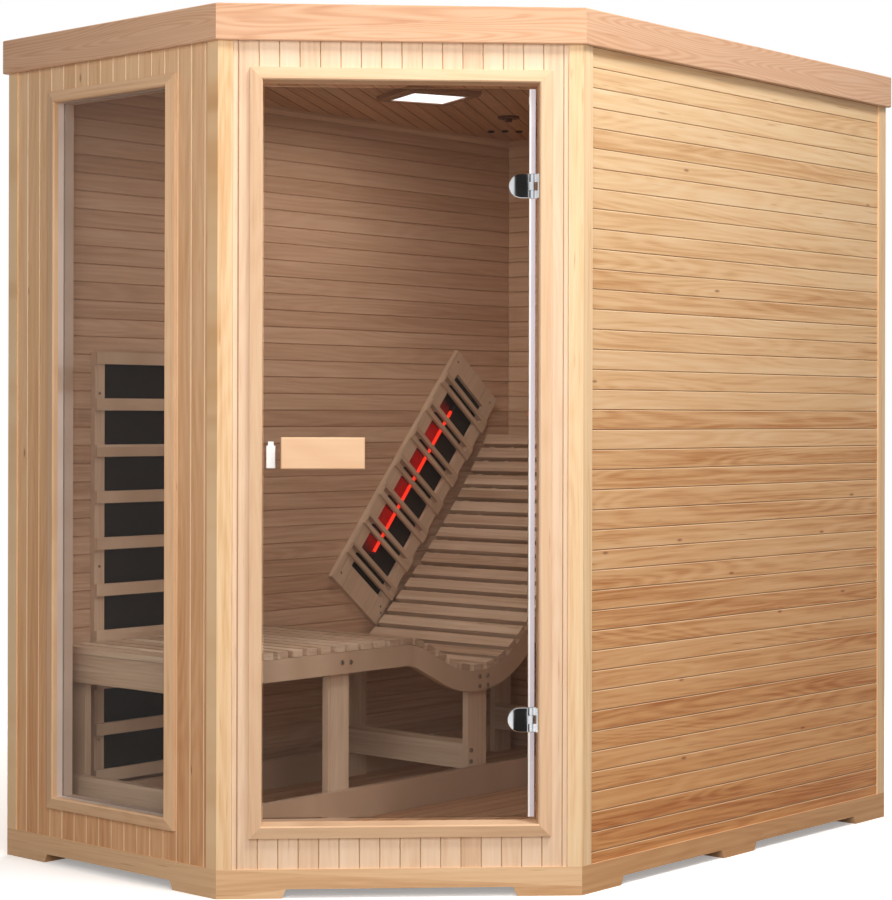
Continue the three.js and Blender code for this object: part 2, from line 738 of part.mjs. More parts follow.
const doorGlassBack = DOOR_GLASS_SET + DOOR_GLASS_THICKNESS;
const hingeAxis = doorOpening[1] - HINGE_AXIS_FROM_JAMB;
const hingeDepth = (DOOR_GLASS_SET + doorGlassBack) / 2;
const doorGlassEnd = hingeAxis - KNUCKLE_RADIUS - GAP;
const doorGlassStart = doorOpening[0] + DOOR_FREE_GAP;
const doorLevels = [openingLevels[0] + DOOR_FOOT_GAP, openingLevels[1] - DOOR_HEAD_GAP];
const doorPane = rectangle([doorGlassStart, doorGlassEnd], doorLevels);
piece(doorSide, 'door_moulding', moulding(doorOpening), DOOR_WOOD);
piece(doorSide, 'door_jamb', jamb(doorOpening, []), DOOR_WOOD);
const doorLeaf = plate(doorPane, [DOOR_GLASS_SET, doorGlassBack], DOOR_GLASS_BEVEL);
piece(doorSide, 'door_glass', doorLeaf, TINTED_GLASS);

// A pull is a broad face on a narrower stem, which leaves room for the fingers.
function pull(glassFace, outwards) {
  const across = [doorGlassStart + PULL_FROM_EDGE, doorGlassStart + PULL_FROM_EDGE + PULL_LENGTH];
  const levels = [doorLevels[0] + PULL_RISE - PULL_HEIGHT / 2, doorLevels[0] + PULL_RISE + PULL_HEIGHT / 2];
  const at = (distance) => glassFace + outwards * distance;
  const reach = (near, far) => [at(near), at(far)].sort((a, b) => a - b);
  const face = plate(rectangle(across, levels), reach(PULL_DEPTH - PULL_FACE, PULL_DEPTH), PULL_BEVEL);
  const stem = block(
    grown(across, -PULL_STEM_INSET),
    reach(GAP, PULL_DEPTH - PULL_FACE + PULL_BEVEL + OVERLAP),
    grown(levels, -PULL_STEM_INSET),
  );
  return joined([face, stem]);
}

function doorCatch() {
  const start = doorGlassStart + CATCH_FROM_EDGE;
  const middle = start + CATCH_WIDTH / 2;
  const bottom = doorLevels[0] + PULL_RISE - CATCH_BELOW_PULL - CATCH_HEIGHT / 2;
  const top = bottom + CATCH_HEIGHT;
  const front = DOOR_GLASS_SET - GAP - CATCH_DEPTH;
  const body = plate(
    rectangle([start, start + CATCH_WIDTH], [bottom, top]),
    [front, DOOR_GLASS_SET - GAP],
    CATCH_BEVEL,
  );
  const cap = block(
    [middle - CATCH_CAP_WIDTH / 2, middle + CATCH_CAP_WIDTH / 2],
    [front + 2 * CATCH_BEVEL, DOOR_GLASS_SET - GAP - 2 * CATCH_BEVEL],
    [top - 2 * CATCH_BEVEL, top + CATCH_CAP_HEIGHT],
  );
  return joined([body, cap]);
}

piece(doorSide, 'door_pull_outer', pull(DOOR_GLASS_SET, -1), STRIP_WOOD);
piece(doorSide, 'door_pull_inner', pull(doorGlassBack, 1), STRIP_WOOD);
piece(doorSide, 'door_catch', doorCatch(), WHITE_PLASTIC);

// Hinges: the jamb leaf holds the pin and the outer knuckles, the clamp has the middle knuckle

const hingeLevels = [doorLevels[0] + HINGE_INSET, doorLevels[1] - HINGE_INSET];
const knuckleBreak = CLAMP_KNUCKLE_HEIGHT / 2;
const clampFront = DOOR_GLASS_SET - GAP - CLAMP_PLATE;
const clampBack = doorGlassBack + GAP + CLAMP_PLATE;
const sealFront = hingeDepth + KNUCKLE_RADIUS + SEAL_BEHIND_KNUCKLE;

function hingeRod(radius, levels, height) {
  return rod(radius, levels).translate(hingeAxis, hingeDepth, height);
}

function hingeLeaf(height) {
  const half = HINGE_HEIGHT / 2;
  const leafFace = doorOpening[1] - GAP - LEAF_THICKNESS;
  const plateDepth = [hingeDepth - LEAF_DEPTH / 2, hingeDepth + LEAF_DEPTH / 2];
  const leaf = block([leafFace, doorOpening[1] - GAP], plateDepth, [height - half, height + half]);
  const ends = [[-half, -knuckleBreak - KNUCKLE_GAP], [knuckleBreak + KNUCKLE_GAP, half]];
  const knuckles = ends.flatMap(([low, high]) => [
    hingeRod(KNUCKLE_RADIUS, [low, high], height),
    block(
      [hingeAxis, leafFace + OVERLAP],
      [hingeDepth - LEAF_ARM / 2, hingeDepth + LEAF_ARM / 2],
      [height + low, height + high],
    ),
  ]);
  return joined([leaf, ...knuckles, hingeRod(PIN_RADIUS, [-half, half], height)]);
}

function clampOutline(height) {
  const half = HINGE_HEIGHT / 2;
  const centre = doorGlassEnd - CLAMP_LENGTH + half;
  const outline = [[doorGlassEnd, height - half], [doorGlassEnd, height + half]];
  for (let step = 0; step <= HOLE_SIDES; step += 1) {
    const turn = Math.PI / 2 + (Math.PI * step) / HOLE_SIDES;
    outline.push([centre + half * Math.cos(turn), height + half * Math.sin(turn)]);
  }
  return outline;
}

function hingeClamp(height) {
  const levels = [height - knuckleBreak, height + knuckleBreak];
  const bridgeBack = sealFront - GAP;
  const front = plate(clampOutline(height), [clampFront, DOOR_GLASS_SET - GAP], CLAMP_BEVEL);
  const back = plate(clampOutline(height), [doorGlassBack + GAP, clampBack], CLAMP_BEVEL);
  const root = doorGlassEnd - KNUCKLE_RADIUS;
  const frontTongue = block([root, hingeAxis], [clampFront + CLAMP_BEVEL, DOOR_GLASS_SET - GAP], levels);
  const backTongue = block([root, hingeAxis], [doorGlassBack + GAP, bridgeBack], levels);
  const bridge = block([doorGlassEnd + GAP, hingeAxis], [clampFront + CLAMP_BEVEL, bridgeBack], levels);
  const knuckle = hingeRod(KNUCKLE_RADIUS, [-knuckleBreak, knuckleBreak], height);
  const bore = hingeRod(PIN_RADIUS + PIN_CLEARANCE, [-HINGE_HEIGHT, HINGE_HEIGHT], height);
  return cut(joined([front, back, frontTongue, backTongue, bridge, knuckle]), [bore]);
}

// The seal closes the hinge edge and is thinned to a web behind the knuckles.
function doorSeal() {
  const across = [doorGlassEnd + GAP, doorGlassEnd + GAP + SEAL_WIDTH];
  const strip = block(across, [DOOR_GLASS_SET, sealFront + SEAL_WEB], doorLevels);
  const pockets = hingeLevels.map((height) => block(
    grown(across, OVERLAP),
    [0, sealFront],
    grown([height - HINGE_HEIGHT / 2, height + HINGE_HEIGHT / 2], KNUCKLE_GAP),
  ));
  return cut(strip, pockets);
}

piece(doorSide, 'hinge_leaf_lower', hingeLeaf(hingeLevels[0]), CHROME);
piece(doorSide, 'hinge_leaf_upper', hingeLeaf(hingeLevels[1]), CHROME);
piece(doorSide, 'hinge_clamp_lower', hingeClamp(hingeLevels[0]), CHROME);
piece(doorSide, 'hinge_clamp_upper', hingeClamp(hingeLevels[1]), CHROME);
piece(doorSide, 'door_seal', doorSeal(), SEAL_PLASTIC);

// Lounger curve: runs of constant bend, walked from the window end

function lengthOf(runs) {
  return runs.reduce((sum, run) => sum + run.length, 0);
}

function walked(runs, distance) {
  let y = 0;
  let z = 0;
  let heading = 0;
  let left = distance;
  runs.forEach(({ length, turn }) => {
    const part = Math.min(Math.max(left, 0), length);
    const bend = (turn / length) * part;
    const chord = bend === 0 ? part : (2 * part * Math.sin(bend / 2)) / bend;
    y += chord * Math.cos(heading + bend / 2);
    z += chord * Math.sin(heading + bend / 2);
    heading += bend;
    left -= part;
  });
  return { y, z, heading };
}

const innerLeft = -HALF_WIDTH + WALL_THICKNESS;
const innerFront = -HALF_DEPTH + WALL_THICKNESS;
const innerBack = HALF_DEPTH - WALL_THICKNESS;
const loungerFar = innerLeft + HEATER_DEPTH + LOUNGER_FROM_HEATER;
const loungerNear = loungerFar + LOUNGER_WIDTH;
const loungerFront = innerFront + LOUNGER_FROM_FRONT;
const loungerTop = FLOOR_TOP + LOUNGER_TOP;

const BENDS = [
  { length: CREST_RADIUS * DIP_SLOPE, turn: -DIP_SLOPE, steps: CREST_STEPS },
  { length: DIP_STRAIGHT, turn: 0, steps: 1 },
  { length: DIP_RADIUS * (DIP_SLOPE + BACK_SLOPE), turn: DIP_SLOPE + BACK_SLOPE, steps: DIP_STEPS },
  { length: BACK_LENGTH, turn: BACK_LENGTH / BACK_RADIUS, steps: BACK_STEPS },
];
const bendReach = walked(BENDS, lengthOf(BENDS)).y;
const flatLength = innerBack - LOUNGER_FROM_BACK - bendReach - loungerFront;
const CURVE = [{ length: flatLength, turn: 0, steps: 1 }, ...BENDS];
const curveLength = lengthOf(CURVE);
const dipStart = lengthOf(CURVE.slice(0, 3));
const backStart = lengthOf(CURVE.slice(0, 4));

// Point of the slat tops at a distance along the curve, moved down square to it.
function curvePoint(distance, drop) {
  const { y, z, heading } = walked(CURVE, distance);
  return {
    y: loungerFront + y + drop * Math.sin(heading),
    z: loungerTop + z - drop * Math.cos(heading),
    heading,
  };
}

function curveStations(from, to) {
  const stations = [from];
  let start = 0;
  CURVE.forEach(({ length, steps }) => {
    for (let step = 1; step <= steps; step += 1) {
      const station = start + (length * step) / steps;
      if (station > from + OVERLAP && station < to - OVERLAP) {
        stations.push(station);
      }
    }
    start += length;
  });
  return [...stations, to];
}

// A strip that follows the curve between two depths below the slat tops.
function curvedStrip([from, to], [high, low], across) {
  const stations = curveStations(from, to);
  const at = (drop) => (station) => {
    const { y, z } = curvePoint(station, drop);
    return [y, z];
  };
  return sideways([...stations.map(at(low)), ...stations.map(at(high)).reverse()], across);
}

// Lounger slats, in three decks held by battens

const slatStarts = [];
for (let start = 0; start + SLAT_WIDTH <= curveLength; start += SLAT_PITCH) {
  slatStarts.push(start);
}

function slat(start) {
  const { y, z, heading } = curvePoint(start + SLAT_WIDTH / 2, SLAT_THICKNESS / 2);
  const board = new THREE.BoxGeometry(LOUNGER_WIDTH, SLAT_WIDTH, SLAT_THICKNESS);
  return board.rotateX(heading).translate((loungerFar + loungerNear) / 2, y, z);
}

function slatDeck(from, to) {
  const starts = slatStarts.filter((start) => start >= from && start < to);
  const first = Math.max(starts[0], LEG_THICKNESS + OVERLAP);
  const last = starts[starts.length - 1] + SLAT_WIDTH;
  const drops = [SLAT_THICKNESS - OVERLAP, SLAT_THICKNESS + BATTEN_DEPTH];
  const farBatten = loungerFar + BATTEN_INSET;
  const nearBatten = loungerNear - BATTEN_INSET;
  return joined([
    ...starts.map(slat),
    curvedStrip([first, last], drops, [farBatten, farBatten + BATTEN_WIDTH]),
    curvedStrip([first, last], drops, [nearBatten - BATTEN_WIDTH, nearBatten]),
  ]);
}

const seatStart = flatLength + SPLIT_AFTER_CREST;
piece(cabin, 'lounger_leg_slats', slatDeck(0, seatStart), SLAT_WOOD);
piece(cabin, 'lounger_seat_slats', slatDeck(seatStart, backStart), SLAT_WOOD);
piece(cabin, 'lounger_back_slats', slatDeck(backStart, curveLength), SLAT_WOOD);

// Lounger frame

const frontLegBack = loungerFront + 2 * LEG_THICKNESS + GAP;
const nearRail = [loungerNear - RAIL_THICKNESS, loungerNear];
const farRail = [loungerFar + FAR_RAIL_INSET, loungerFar + FAR_RAIL_INSET + RAIL_THICKNESS];
const nearLeg = [nearRail[0] - GAP - LEG_THICKNESS, nearRail[0] - GAP];
const farLeg = [farRail[1] + GAP, farRail[1] + GAP + LEG_THICKNESS];
const railDrops = [SLAT_THICKNESS + RAIL_GAP, SLAT_THICKNESS + RAIL_GAP + RAIL_DEPTH];
const railRange = [frontLegBack + GAP - loungerFront, curveLength - RAIL_END];
const backLegs = curvePoint(curveLength, 0).y - BACK_LEG_BEFORE_TOP;
const floorRailRange = [frontLegBack + GAP, backLegs + LEG_WIDTH];
const floorRailLevels = [STAND_LEVEL, FLOOR_TOP + FLOOR_RAIL_HEIGHT];

piece(cabin, 'lounger_rail_near', curvedStrip(railRange, railDrops, nearRail), SLAT_WOOD);
piece(cabin, 'lounger_rail_far', curvedStrip(railRange, railDrops, farRail), SLAT_WOOD);
piece(cabin, 'lounger_floor_rail_near', block(nearRail, floorRailRange, floorRailLevels), SLAT_WOOD);
piece(cabin, 'lounger_floor_rail_far', block(farRail, floorRailRange, floorRailLevels), SLAT_WOOD);

// Lowest level of the deck above a stretch of the floor.
function deckLevel([from, to]) {
  const points = curveStations(0, curveLength).flatMap((station, index, all) => {
    const next = all[Math.min(index + 1, all.length - 1)];
    const parts = Math.ceil((next - station) / SLAT_WIDTH) + 1;
    return Array.from({ length: parts }, (unused, part) => station + ((next - station) * part) / parts);
  }).map((station) => curvePoint(station, SLAT_THICKNESS + LEG_HEADROOM));
  const above = points.filter(({ y }) => y > from - SLAT_WIDTH / 2 && y < to + SLAT_WIDTH / 2);
  return Math.min(...above.map(({ z }) => z));
}

// Two legs inside the rails and a board across them.
function trestle(start, boardLevels) {
  const range = [start, start + LEG_WIDTH];
  const levels = [STAND_LEVEL, deckLevel(range)];
  const board = block([farLeg[0], nearLeg[1]], [start, start + LEG_THICKNESS], boardLevels(levels[1]));
  return joined([block(farLeg, range, levels), block(nearLeg, range, levels), board]);
}

function bearer(top) {
  const high = top - BATTEN_DEPTH - LEG_HEADROOM;
  return [high - RAIL_DEPTH + BATTEN_DEPTH, high];
}

function crossBoard() {
  return [FLOOR_TOP + CROSS_BOARD_RISE, FLOOR_TOP + CROSS_BOARD_RISE + CROSS_BOARD_HEIGHT];
}

const dipLowest = curvePoint(dipStart + DIP_RADIUS * DIP_SLOPE, 0).y;
const firstLegs = loungerFront + FIRST_LEG_FROM_FRONT;
const secondLegs = dipLowest - SECOND_LEG_BEFORE_DIP;
piece(cabin, 'lounger_trestle_leg', trestle(firstLegs, bearer), SLAT_WOOD);
piece(cabin, 'lounger_trestle_seat', trestle(secondLegs, crossBoard), SLAT_WOOD);
piece(cabin, 'lounger_trestle_back', trestle(backLegs, crossBoard), SLAT_WOOD);

// The front legs stand broadside to the window, with a low board on them and an apron above.
function frontTrestle() {
  const range = [frontLegBack - LEG_THICKNESS, frontLegBack];
  const levels = [STAND_LEVEL, loungerTop - SLAT_THICKNESS - RAIL_GAP];
  const boardBottom = FLOOR_TOP + FRONT_BOARD_RISE;
  const board = block(
    [loungerFar + FRONT_BOARD_INSET, loungerNear - FRONT_BOARD_INSET],
    [loungerFront, range[0] + OVERLAP],
    [boardBottom, boardBottom + CROSS_BOARD_HEIGHT],
  );
  return joined([
    block([loungerFar, loungerFar + LEG_WIDTH], range, levels),
    block([loungerNear - LEG_WIDTH, loungerNear], range, levels),
    board,
  ]);
}

const apronTop = loungerTop - SLAT_THICKNESS - RAIL_GAP;
const apronRange = [loungerFront, loungerFront + LEG_THICKNESS];
const apron = block([loungerFar, loungerNear], apronRange, [apronTop - APRON_HEIGHT, apronTop]);
piece(cabin, 'lounger_trestle_front', frontTrestle(), SLAT_WOOD);
piece(cabin, 'lounger_apron', apron, SLAT_WOOD);

// Heater beside the legs: stiles on the wall, raised slats across them, black panel behind

const heaterBack = innerLeft + GAP;
const wallHeaterStart = innerFront + WALL_HEATER_FROM_FRONT;
const wallHeater = [wallHeaterStart, wallHeaterStart + WALL_HEATER_WIDTH];
const wallHeaterBottom = FLOOR_TOP + WALL_HEATER_RISE;
const wallHeaterHeight = WALL_HEATER_PITCH * (WALL_HEATER_SLATS - 1) + WALL_HEATER_SLAT;
const wallHeaterLevels = [wallHeaterBottom, wallHeaterBottom + wallHeaterHeight];

function wallHeaterGuard() {
  const frame = [heaterBack, innerLeft + HEATER_FRAME_DEPTH];
  const front = [innerLeft + HEATER_FRAME_DEPTH - OVERLAP, innerLeft + HEATER_DEPTH];
  const [left, right] = wallHeater;
  const stiles = [
    block(frame, [left, left + WALL_HEATER_STILE], wallHeaterLevels),
    block(frame, [right - WALL_HEATER_STILE, right], wallHeaterLevels),
  ];
  const slats = Array.from({ length: WALL_HEATER_SLATS }, (unused, index) => {
    const bottom = wallHeaterBottom + index * WALL_HEATER_PITCH;
    return block(front, wallHeater, [bottom, bottom + WALL_HEATER_SLAT]);
  });
  return joined([...stiles, ...slats]);
}

const wallPanelRange = grown(wallHeater, -WALL_HEATER_STILE - GAP);
const wallPanelDepth = [heaterBack, heaterBack + HEATER_PANEL_THICKNESS];
const wallPanel = block(wallPanelDepth, wallPanelRange, wallHeaterLevels);
piece(cabin, 'wall_heater_guard', wallHeaterGuard(), SLAT_WOOD);
piece(cabin, 'wall_heater_panel', wallPanel, BLACK_PANEL);

// Slanted heater: x along its length, y across it, z out from the wall

const slantHeater = new THREE.Group();
slantHeater.position.set(heaterBack, innerBack - SLANT_HEATER_FROM_BACK, FLOOR_TOP + SLANT_HEATER_RISE);
slantHeater.rotation.x = SLANT_HEATER_TILT;
const slantFrame = new THREE.Group();
slantFrame.setRotationFromMatrix(new THREE.Matrix4().makeBasis(Y_AXIS, Z_AXIS, X_AXIS));
slantHeater.add(slantFrame);
cabin.add(slantHeater);

const slantHalf = SLANT_HEATER_LENGTH / 2;
const slantAcross = [-SLANT_HEATER_WIDTH / 2, SLANT_HEATER_WIDTH / 2];
const slantOpening = [-slantHalf + SLANT_LOWER_END, slantHalf - SLANT_UPPER_END];
const slantOpeningAcross = [slantAcross[0] + SLANT_LOWER_STILE, slantAcross[1] - SLANT_UPPER_STILE];

function slantHeaterGuard() {
  const frame = block([-slantHalf, slantHalf], slantAcross, [0, HEATER_FRAME_DEPTH]);
  const opening = block(slantOpening, slantOpeningAcross, [-OVERLAP, HEATER_FRAME_DEPTH + OVERLAP]);
  const pocket = block(
    grown(slantOpening, SLANT_PANEL_LAP + GAP),
    grown(slantOpeningAcross, SLANT_PANEL_LAP + GAP),
    [-OVERLAP, HEATER_PANEL_THICKNESS + GAP],
  );
  const hollow = cut(frame, [opening, pocket]);
  const centres = Array.from({ length: SLANT_SLATS }, (unused, index) => (
    (index - (SLANT_SLATS - 1) / 2) * SLANT_SLAT_PITCH
  ));
  const around = (centre, width) => [centre - width / 2, centre + width / 2];
  const raised = [HEATER_FRAME_DEPTH - OVERLAP, HEATER_DEPTH - GAP];
  const slats = centres.map((centre) => block(around(centre, SLANT_SLAT_WIDTH), slantAcross, raised));
  const slots = centres.map((centre) => block(
    around(centre, SLANT_SLOT_WIDTH),
    around(SLANT_SLOT_SHIFT, SLANT_SLOT_LENGTH),
    [HEATER_PANEL_THICKNESS + 2 * OVERLAP, HEATER_DEPTH + OVERLAP],
  ));
  return cut(joined([hollow, ...slats]), slots);
}

function heaterTube() {
  const half = TUBE_LENGTH / 2;
  const height = HEATER_PANEL_THICKNESS + TUBE_FROM_PANEL;
  const ends = [[-half, -half + TUBE_CAP_LENGTH], [half - TUBE_CAP_LENGTH, half]];
  const lying = (radius, range) => rod(radius, range, HOLE_SIDES).rotateY(Math.PI / 2);
  const along = (radius, range) => lying(radius, range).translate(0, 0, height);
  const supports = ends.flatMap((range) => [
    along(TUBE_CAP_RADIUS, range),
    block(range, [-TUBE_RADIUS, TUBE_RADIUS], [HEATER_PANEL_THICKNESS + GAP, height]),
  ]);
  const tube = joined([along(TUBE_RADIUS, [-half + OVERLAP, half - OVERLAP]), ...supports]);
  return tube.translate(TUBE_SHIFT_ALONG, TUBE_SHIFT_ACROSS, 0);
}

const slantPanel = block(
  grown(slantOpening, SLANT_PANEL_LAP),
  grown(slantOpeningAcross, SLANT_PANEL_LAP),
  [0, HEATER_PANEL_THICKNESS],
);
piece(slantFrame, 'slant_heater_guard', slantHeaterGuard(), SLAT_WOOD);
piece(slantFrame, 'slant_heater_panel', slantPanel, BLACK_PANEL);
piece(slantFrame, 'slant_heater_tube', heaterTube(), RED_TUBE);

// Ceiling lamp: z runs down from the ceiling

const lamp = new THREE.Group();
lamp.position.set(...LAMP_PLACE, WALL_TOP - GAP);
lamp.rotation.z = LAMP_TURN;
cabin.add(lamp);

function lampRing(profile) {
  const cornersAt = (inset) => {
    const half = LAMP_SIZE / 2 - inset;
    return rectangle([-half, half], [-half, half]);
  };
  return mitredRing(profile, cornersAt, ([x, y], z) => [x, y, z]);
}

const lampRim = (LAMP_SIZE - LAMP_LENS_SIZE) / 2;
const lensBottom = -LAMP_DEPTH + LAMP_LENS_SET;
const lensTop = lensBottom + LAMP_LENS_THICKNESS;
const lensHalf = LAMP_LENS_SIZE / 2 + LAMP_LENS_LAP;
const lampHousing = lampRing([
  [0, 0],
  [0, -LAMP_DEPTH + LAMP_BEVEL],
  [LAMP_BEVEL, -LAMP_DEPTH],
  [lampRim, -LAMP_DEPTH],
  [lampRim, lensBottom - GAP],
  [lampRim - LAMP_LENS_LAP - GAP, lensBottom - GAP],
  [lampRim - LAMP_LENS_LAP - GAP, 0],
].reverse());
const lampLens = prism(rectangle([-lensHalf, lensHalf], [-lensHalf, lensHalf]), [lensBottom, lensTop]);
piece(lamp, 'lamp_housing', lampHousing, DARK_PLASTIC);
piece(lamp, 'lamp_lens', lampLens, LAMP_LENS);

// Ceiling vent

function ventCap() {
  const bottom = -GAP - VENT_THICKNESS;
  const disc = rod(VENT_RADIUS, [bottom, -GAP]);
  const knob = rod(VENT_KNOB_RADIUS, [bottom - VENT_KNOB_HEIGHT, bottom + OVERLAP]);
  const spindle = rod(VENT_SPINDLE_RADIUS, [-GAP - OVERLAP, VENT_SPINDLE_LENGTH], HOLE_SIDES);
  const holes = ventHoles(VENT_HOLE_RADIUS, [bottom - OVERLAP, OVERLAP]);
  return cut(joined([disc, knob, spindle]), holes);
}

piece(cabin, 'vent_cap', ventCap().translate(...VENT_PLACE, WALL_TOP), INNER_WOOD);

// Control panel with two push buttons, on the inside of the right wall

const panelFront = WALL_THICKNESS + GAP + PANEL_DEPTH;
const panelHeight = FLOOR_TOP + PANEL_RISE;
const buttonHeight = panelHeight - BUTTON_DROP;
const buttonPlaces = [PANEL_FROM_DOOR - BUTTON_SPACING / 2, PANEL_FROM_DOOR + BUTTON_SPACING / 2];

function inwardRod(radius, [from, to], place) {
  return rod(radius, [-to, -from]).rotateX(Math.PI / 2).translate(place, 0, buttonHeight);
}

function controlPanel() {
  const outline = rectangle(
    [PANEL_FROM_DOOR - PANEL_WIDTH / 2, PANEL_FROM_DOOR + PANEL_WIDTH / 2],
    [panelHeight - PANEL_HEIGHT / 2, panelHeight + PANEL_HEIGHT / 2],
  );
  const shell = plate(outline, [WALL_THICKNESS + GAP, panelFront], PANEL_BEVEL);
  const depth = panelFront + BUTTON_PROUD - BUTTON_LENGTH - BUTTON_TRAVEL - GAP;
  return cut(shell, buttonPlaces.map((place) => (
    inwardRod(BUTTON_RADIUS + GAP, [depth, panelFront + OVERLAP], place)
  )));
}

function button(place) {
  const front = panelFront + BUTTON_PROUD;
  const profile = [
    new THREE.Vector2(0, 0),
    new THREE.Vector2(BUTTON_RADIUS, 0),
    new THREE.Vector2(BUTTON_RADIUS, BUTTON_LENGTH - BUTTON_BEVEL),
    new THREE.Vector2(BUTTON_RADIUS - BUTTON_BEVEL, BUTTON_LENGTH),
    new THREE.Vector2(0, BUTTON_LENGTH),
  ];
  return new THREE.LatheGeometry(profile, ROUND_SIDES).translate(place, front - BUTTON_LENGTH, buttonHeight);
}

piece(rightSide, 'control_panel', controlPanel(), DARK_PLASTIC);
piece(rightSide, 'button_heat', button(buttonPlaces[0]), WHITE_PLASTIC);
piece(rightSide, 'button_light', button(buttonPlaces[1]), WHITE_PLASTIC);

export default cabin;
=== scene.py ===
import math

import bmesh
import bpy
from mathutils import Matrix, Vector


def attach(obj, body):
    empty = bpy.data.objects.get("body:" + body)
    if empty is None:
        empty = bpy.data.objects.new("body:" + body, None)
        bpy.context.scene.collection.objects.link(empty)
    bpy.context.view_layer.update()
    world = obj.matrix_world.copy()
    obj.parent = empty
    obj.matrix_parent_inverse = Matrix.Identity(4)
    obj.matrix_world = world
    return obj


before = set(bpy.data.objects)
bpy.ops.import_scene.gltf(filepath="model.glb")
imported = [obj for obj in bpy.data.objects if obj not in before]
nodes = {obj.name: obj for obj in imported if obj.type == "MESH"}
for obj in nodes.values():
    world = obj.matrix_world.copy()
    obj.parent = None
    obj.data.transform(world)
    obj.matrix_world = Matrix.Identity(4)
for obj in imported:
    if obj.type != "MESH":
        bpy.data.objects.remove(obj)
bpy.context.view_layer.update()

# Places on the cabin, in metres, as in the solid model
BOARD_PITCH = 0.0434
FASCIA_BOTTOM = 1.822
MOULDING_LEVELS = (0.128, 1.766)
DOOR_CORNER = Vector((0.083, -0.905, 0.0))
DOOR_ALONG = Vector((math.sqrt(0.5), math.sqrt(0.5), 0.0))
UP = Vector((0.0, 0.0, 1.0))
EAST = Vector((1.0, 0.0, 0.0))
NORTH = Vector((0.0, 1.0, 0.0))
LOUNGER_SIDE = -0.068
SLANT_TILT = math.radians(50.5)
SLANT_ALONG = Vector((0.0, math.cos(SLANT_TILT), math.sin(SLANT_TILT)))
SLANT_ACROSS = Vector((0.0, -math.sin(SLANT_TILT), math.cos(SLANT_TILT)))
SLANT_CENTRE = Vector((-0.5847, 0.4474, 0.8357))
HEATER_FRAME_FACE = -0.57
SLANT_PITCH = 0.0986
TUBE_ACROSS = 0.0187
TUBE_LIT = 0.2485
CEILING_LEVEL = 1.826
LAMP_PLACE = Vector((-0.111, -0.022, 1.812))

# Most values of a noise lie between these
NOISE_RANGE = (0.3, 0.7)


# The sRGB curve
DISPLAY_WHITE = 255.0
CURVE_START = 0.04045
CURVE_SLOPE = 12.92
CURVE_OFFSET = 0.055
CURVE_POWER = 2.4


def linear(red, green, blue):
    """A colour given as 0 to 255 display values, ready for a shader."""
    def channel(value):
        value /= DISPLAY_WHITE
        if value <= CURVE_START:
            return value / CURVE_SLOPE
        return ((value + CURVE_OFFSET) / (1.0 + CURVE_OFFSET)) ** CURVE_POWER
    return (channel(red), channel(green), channel(blue), 1.0)


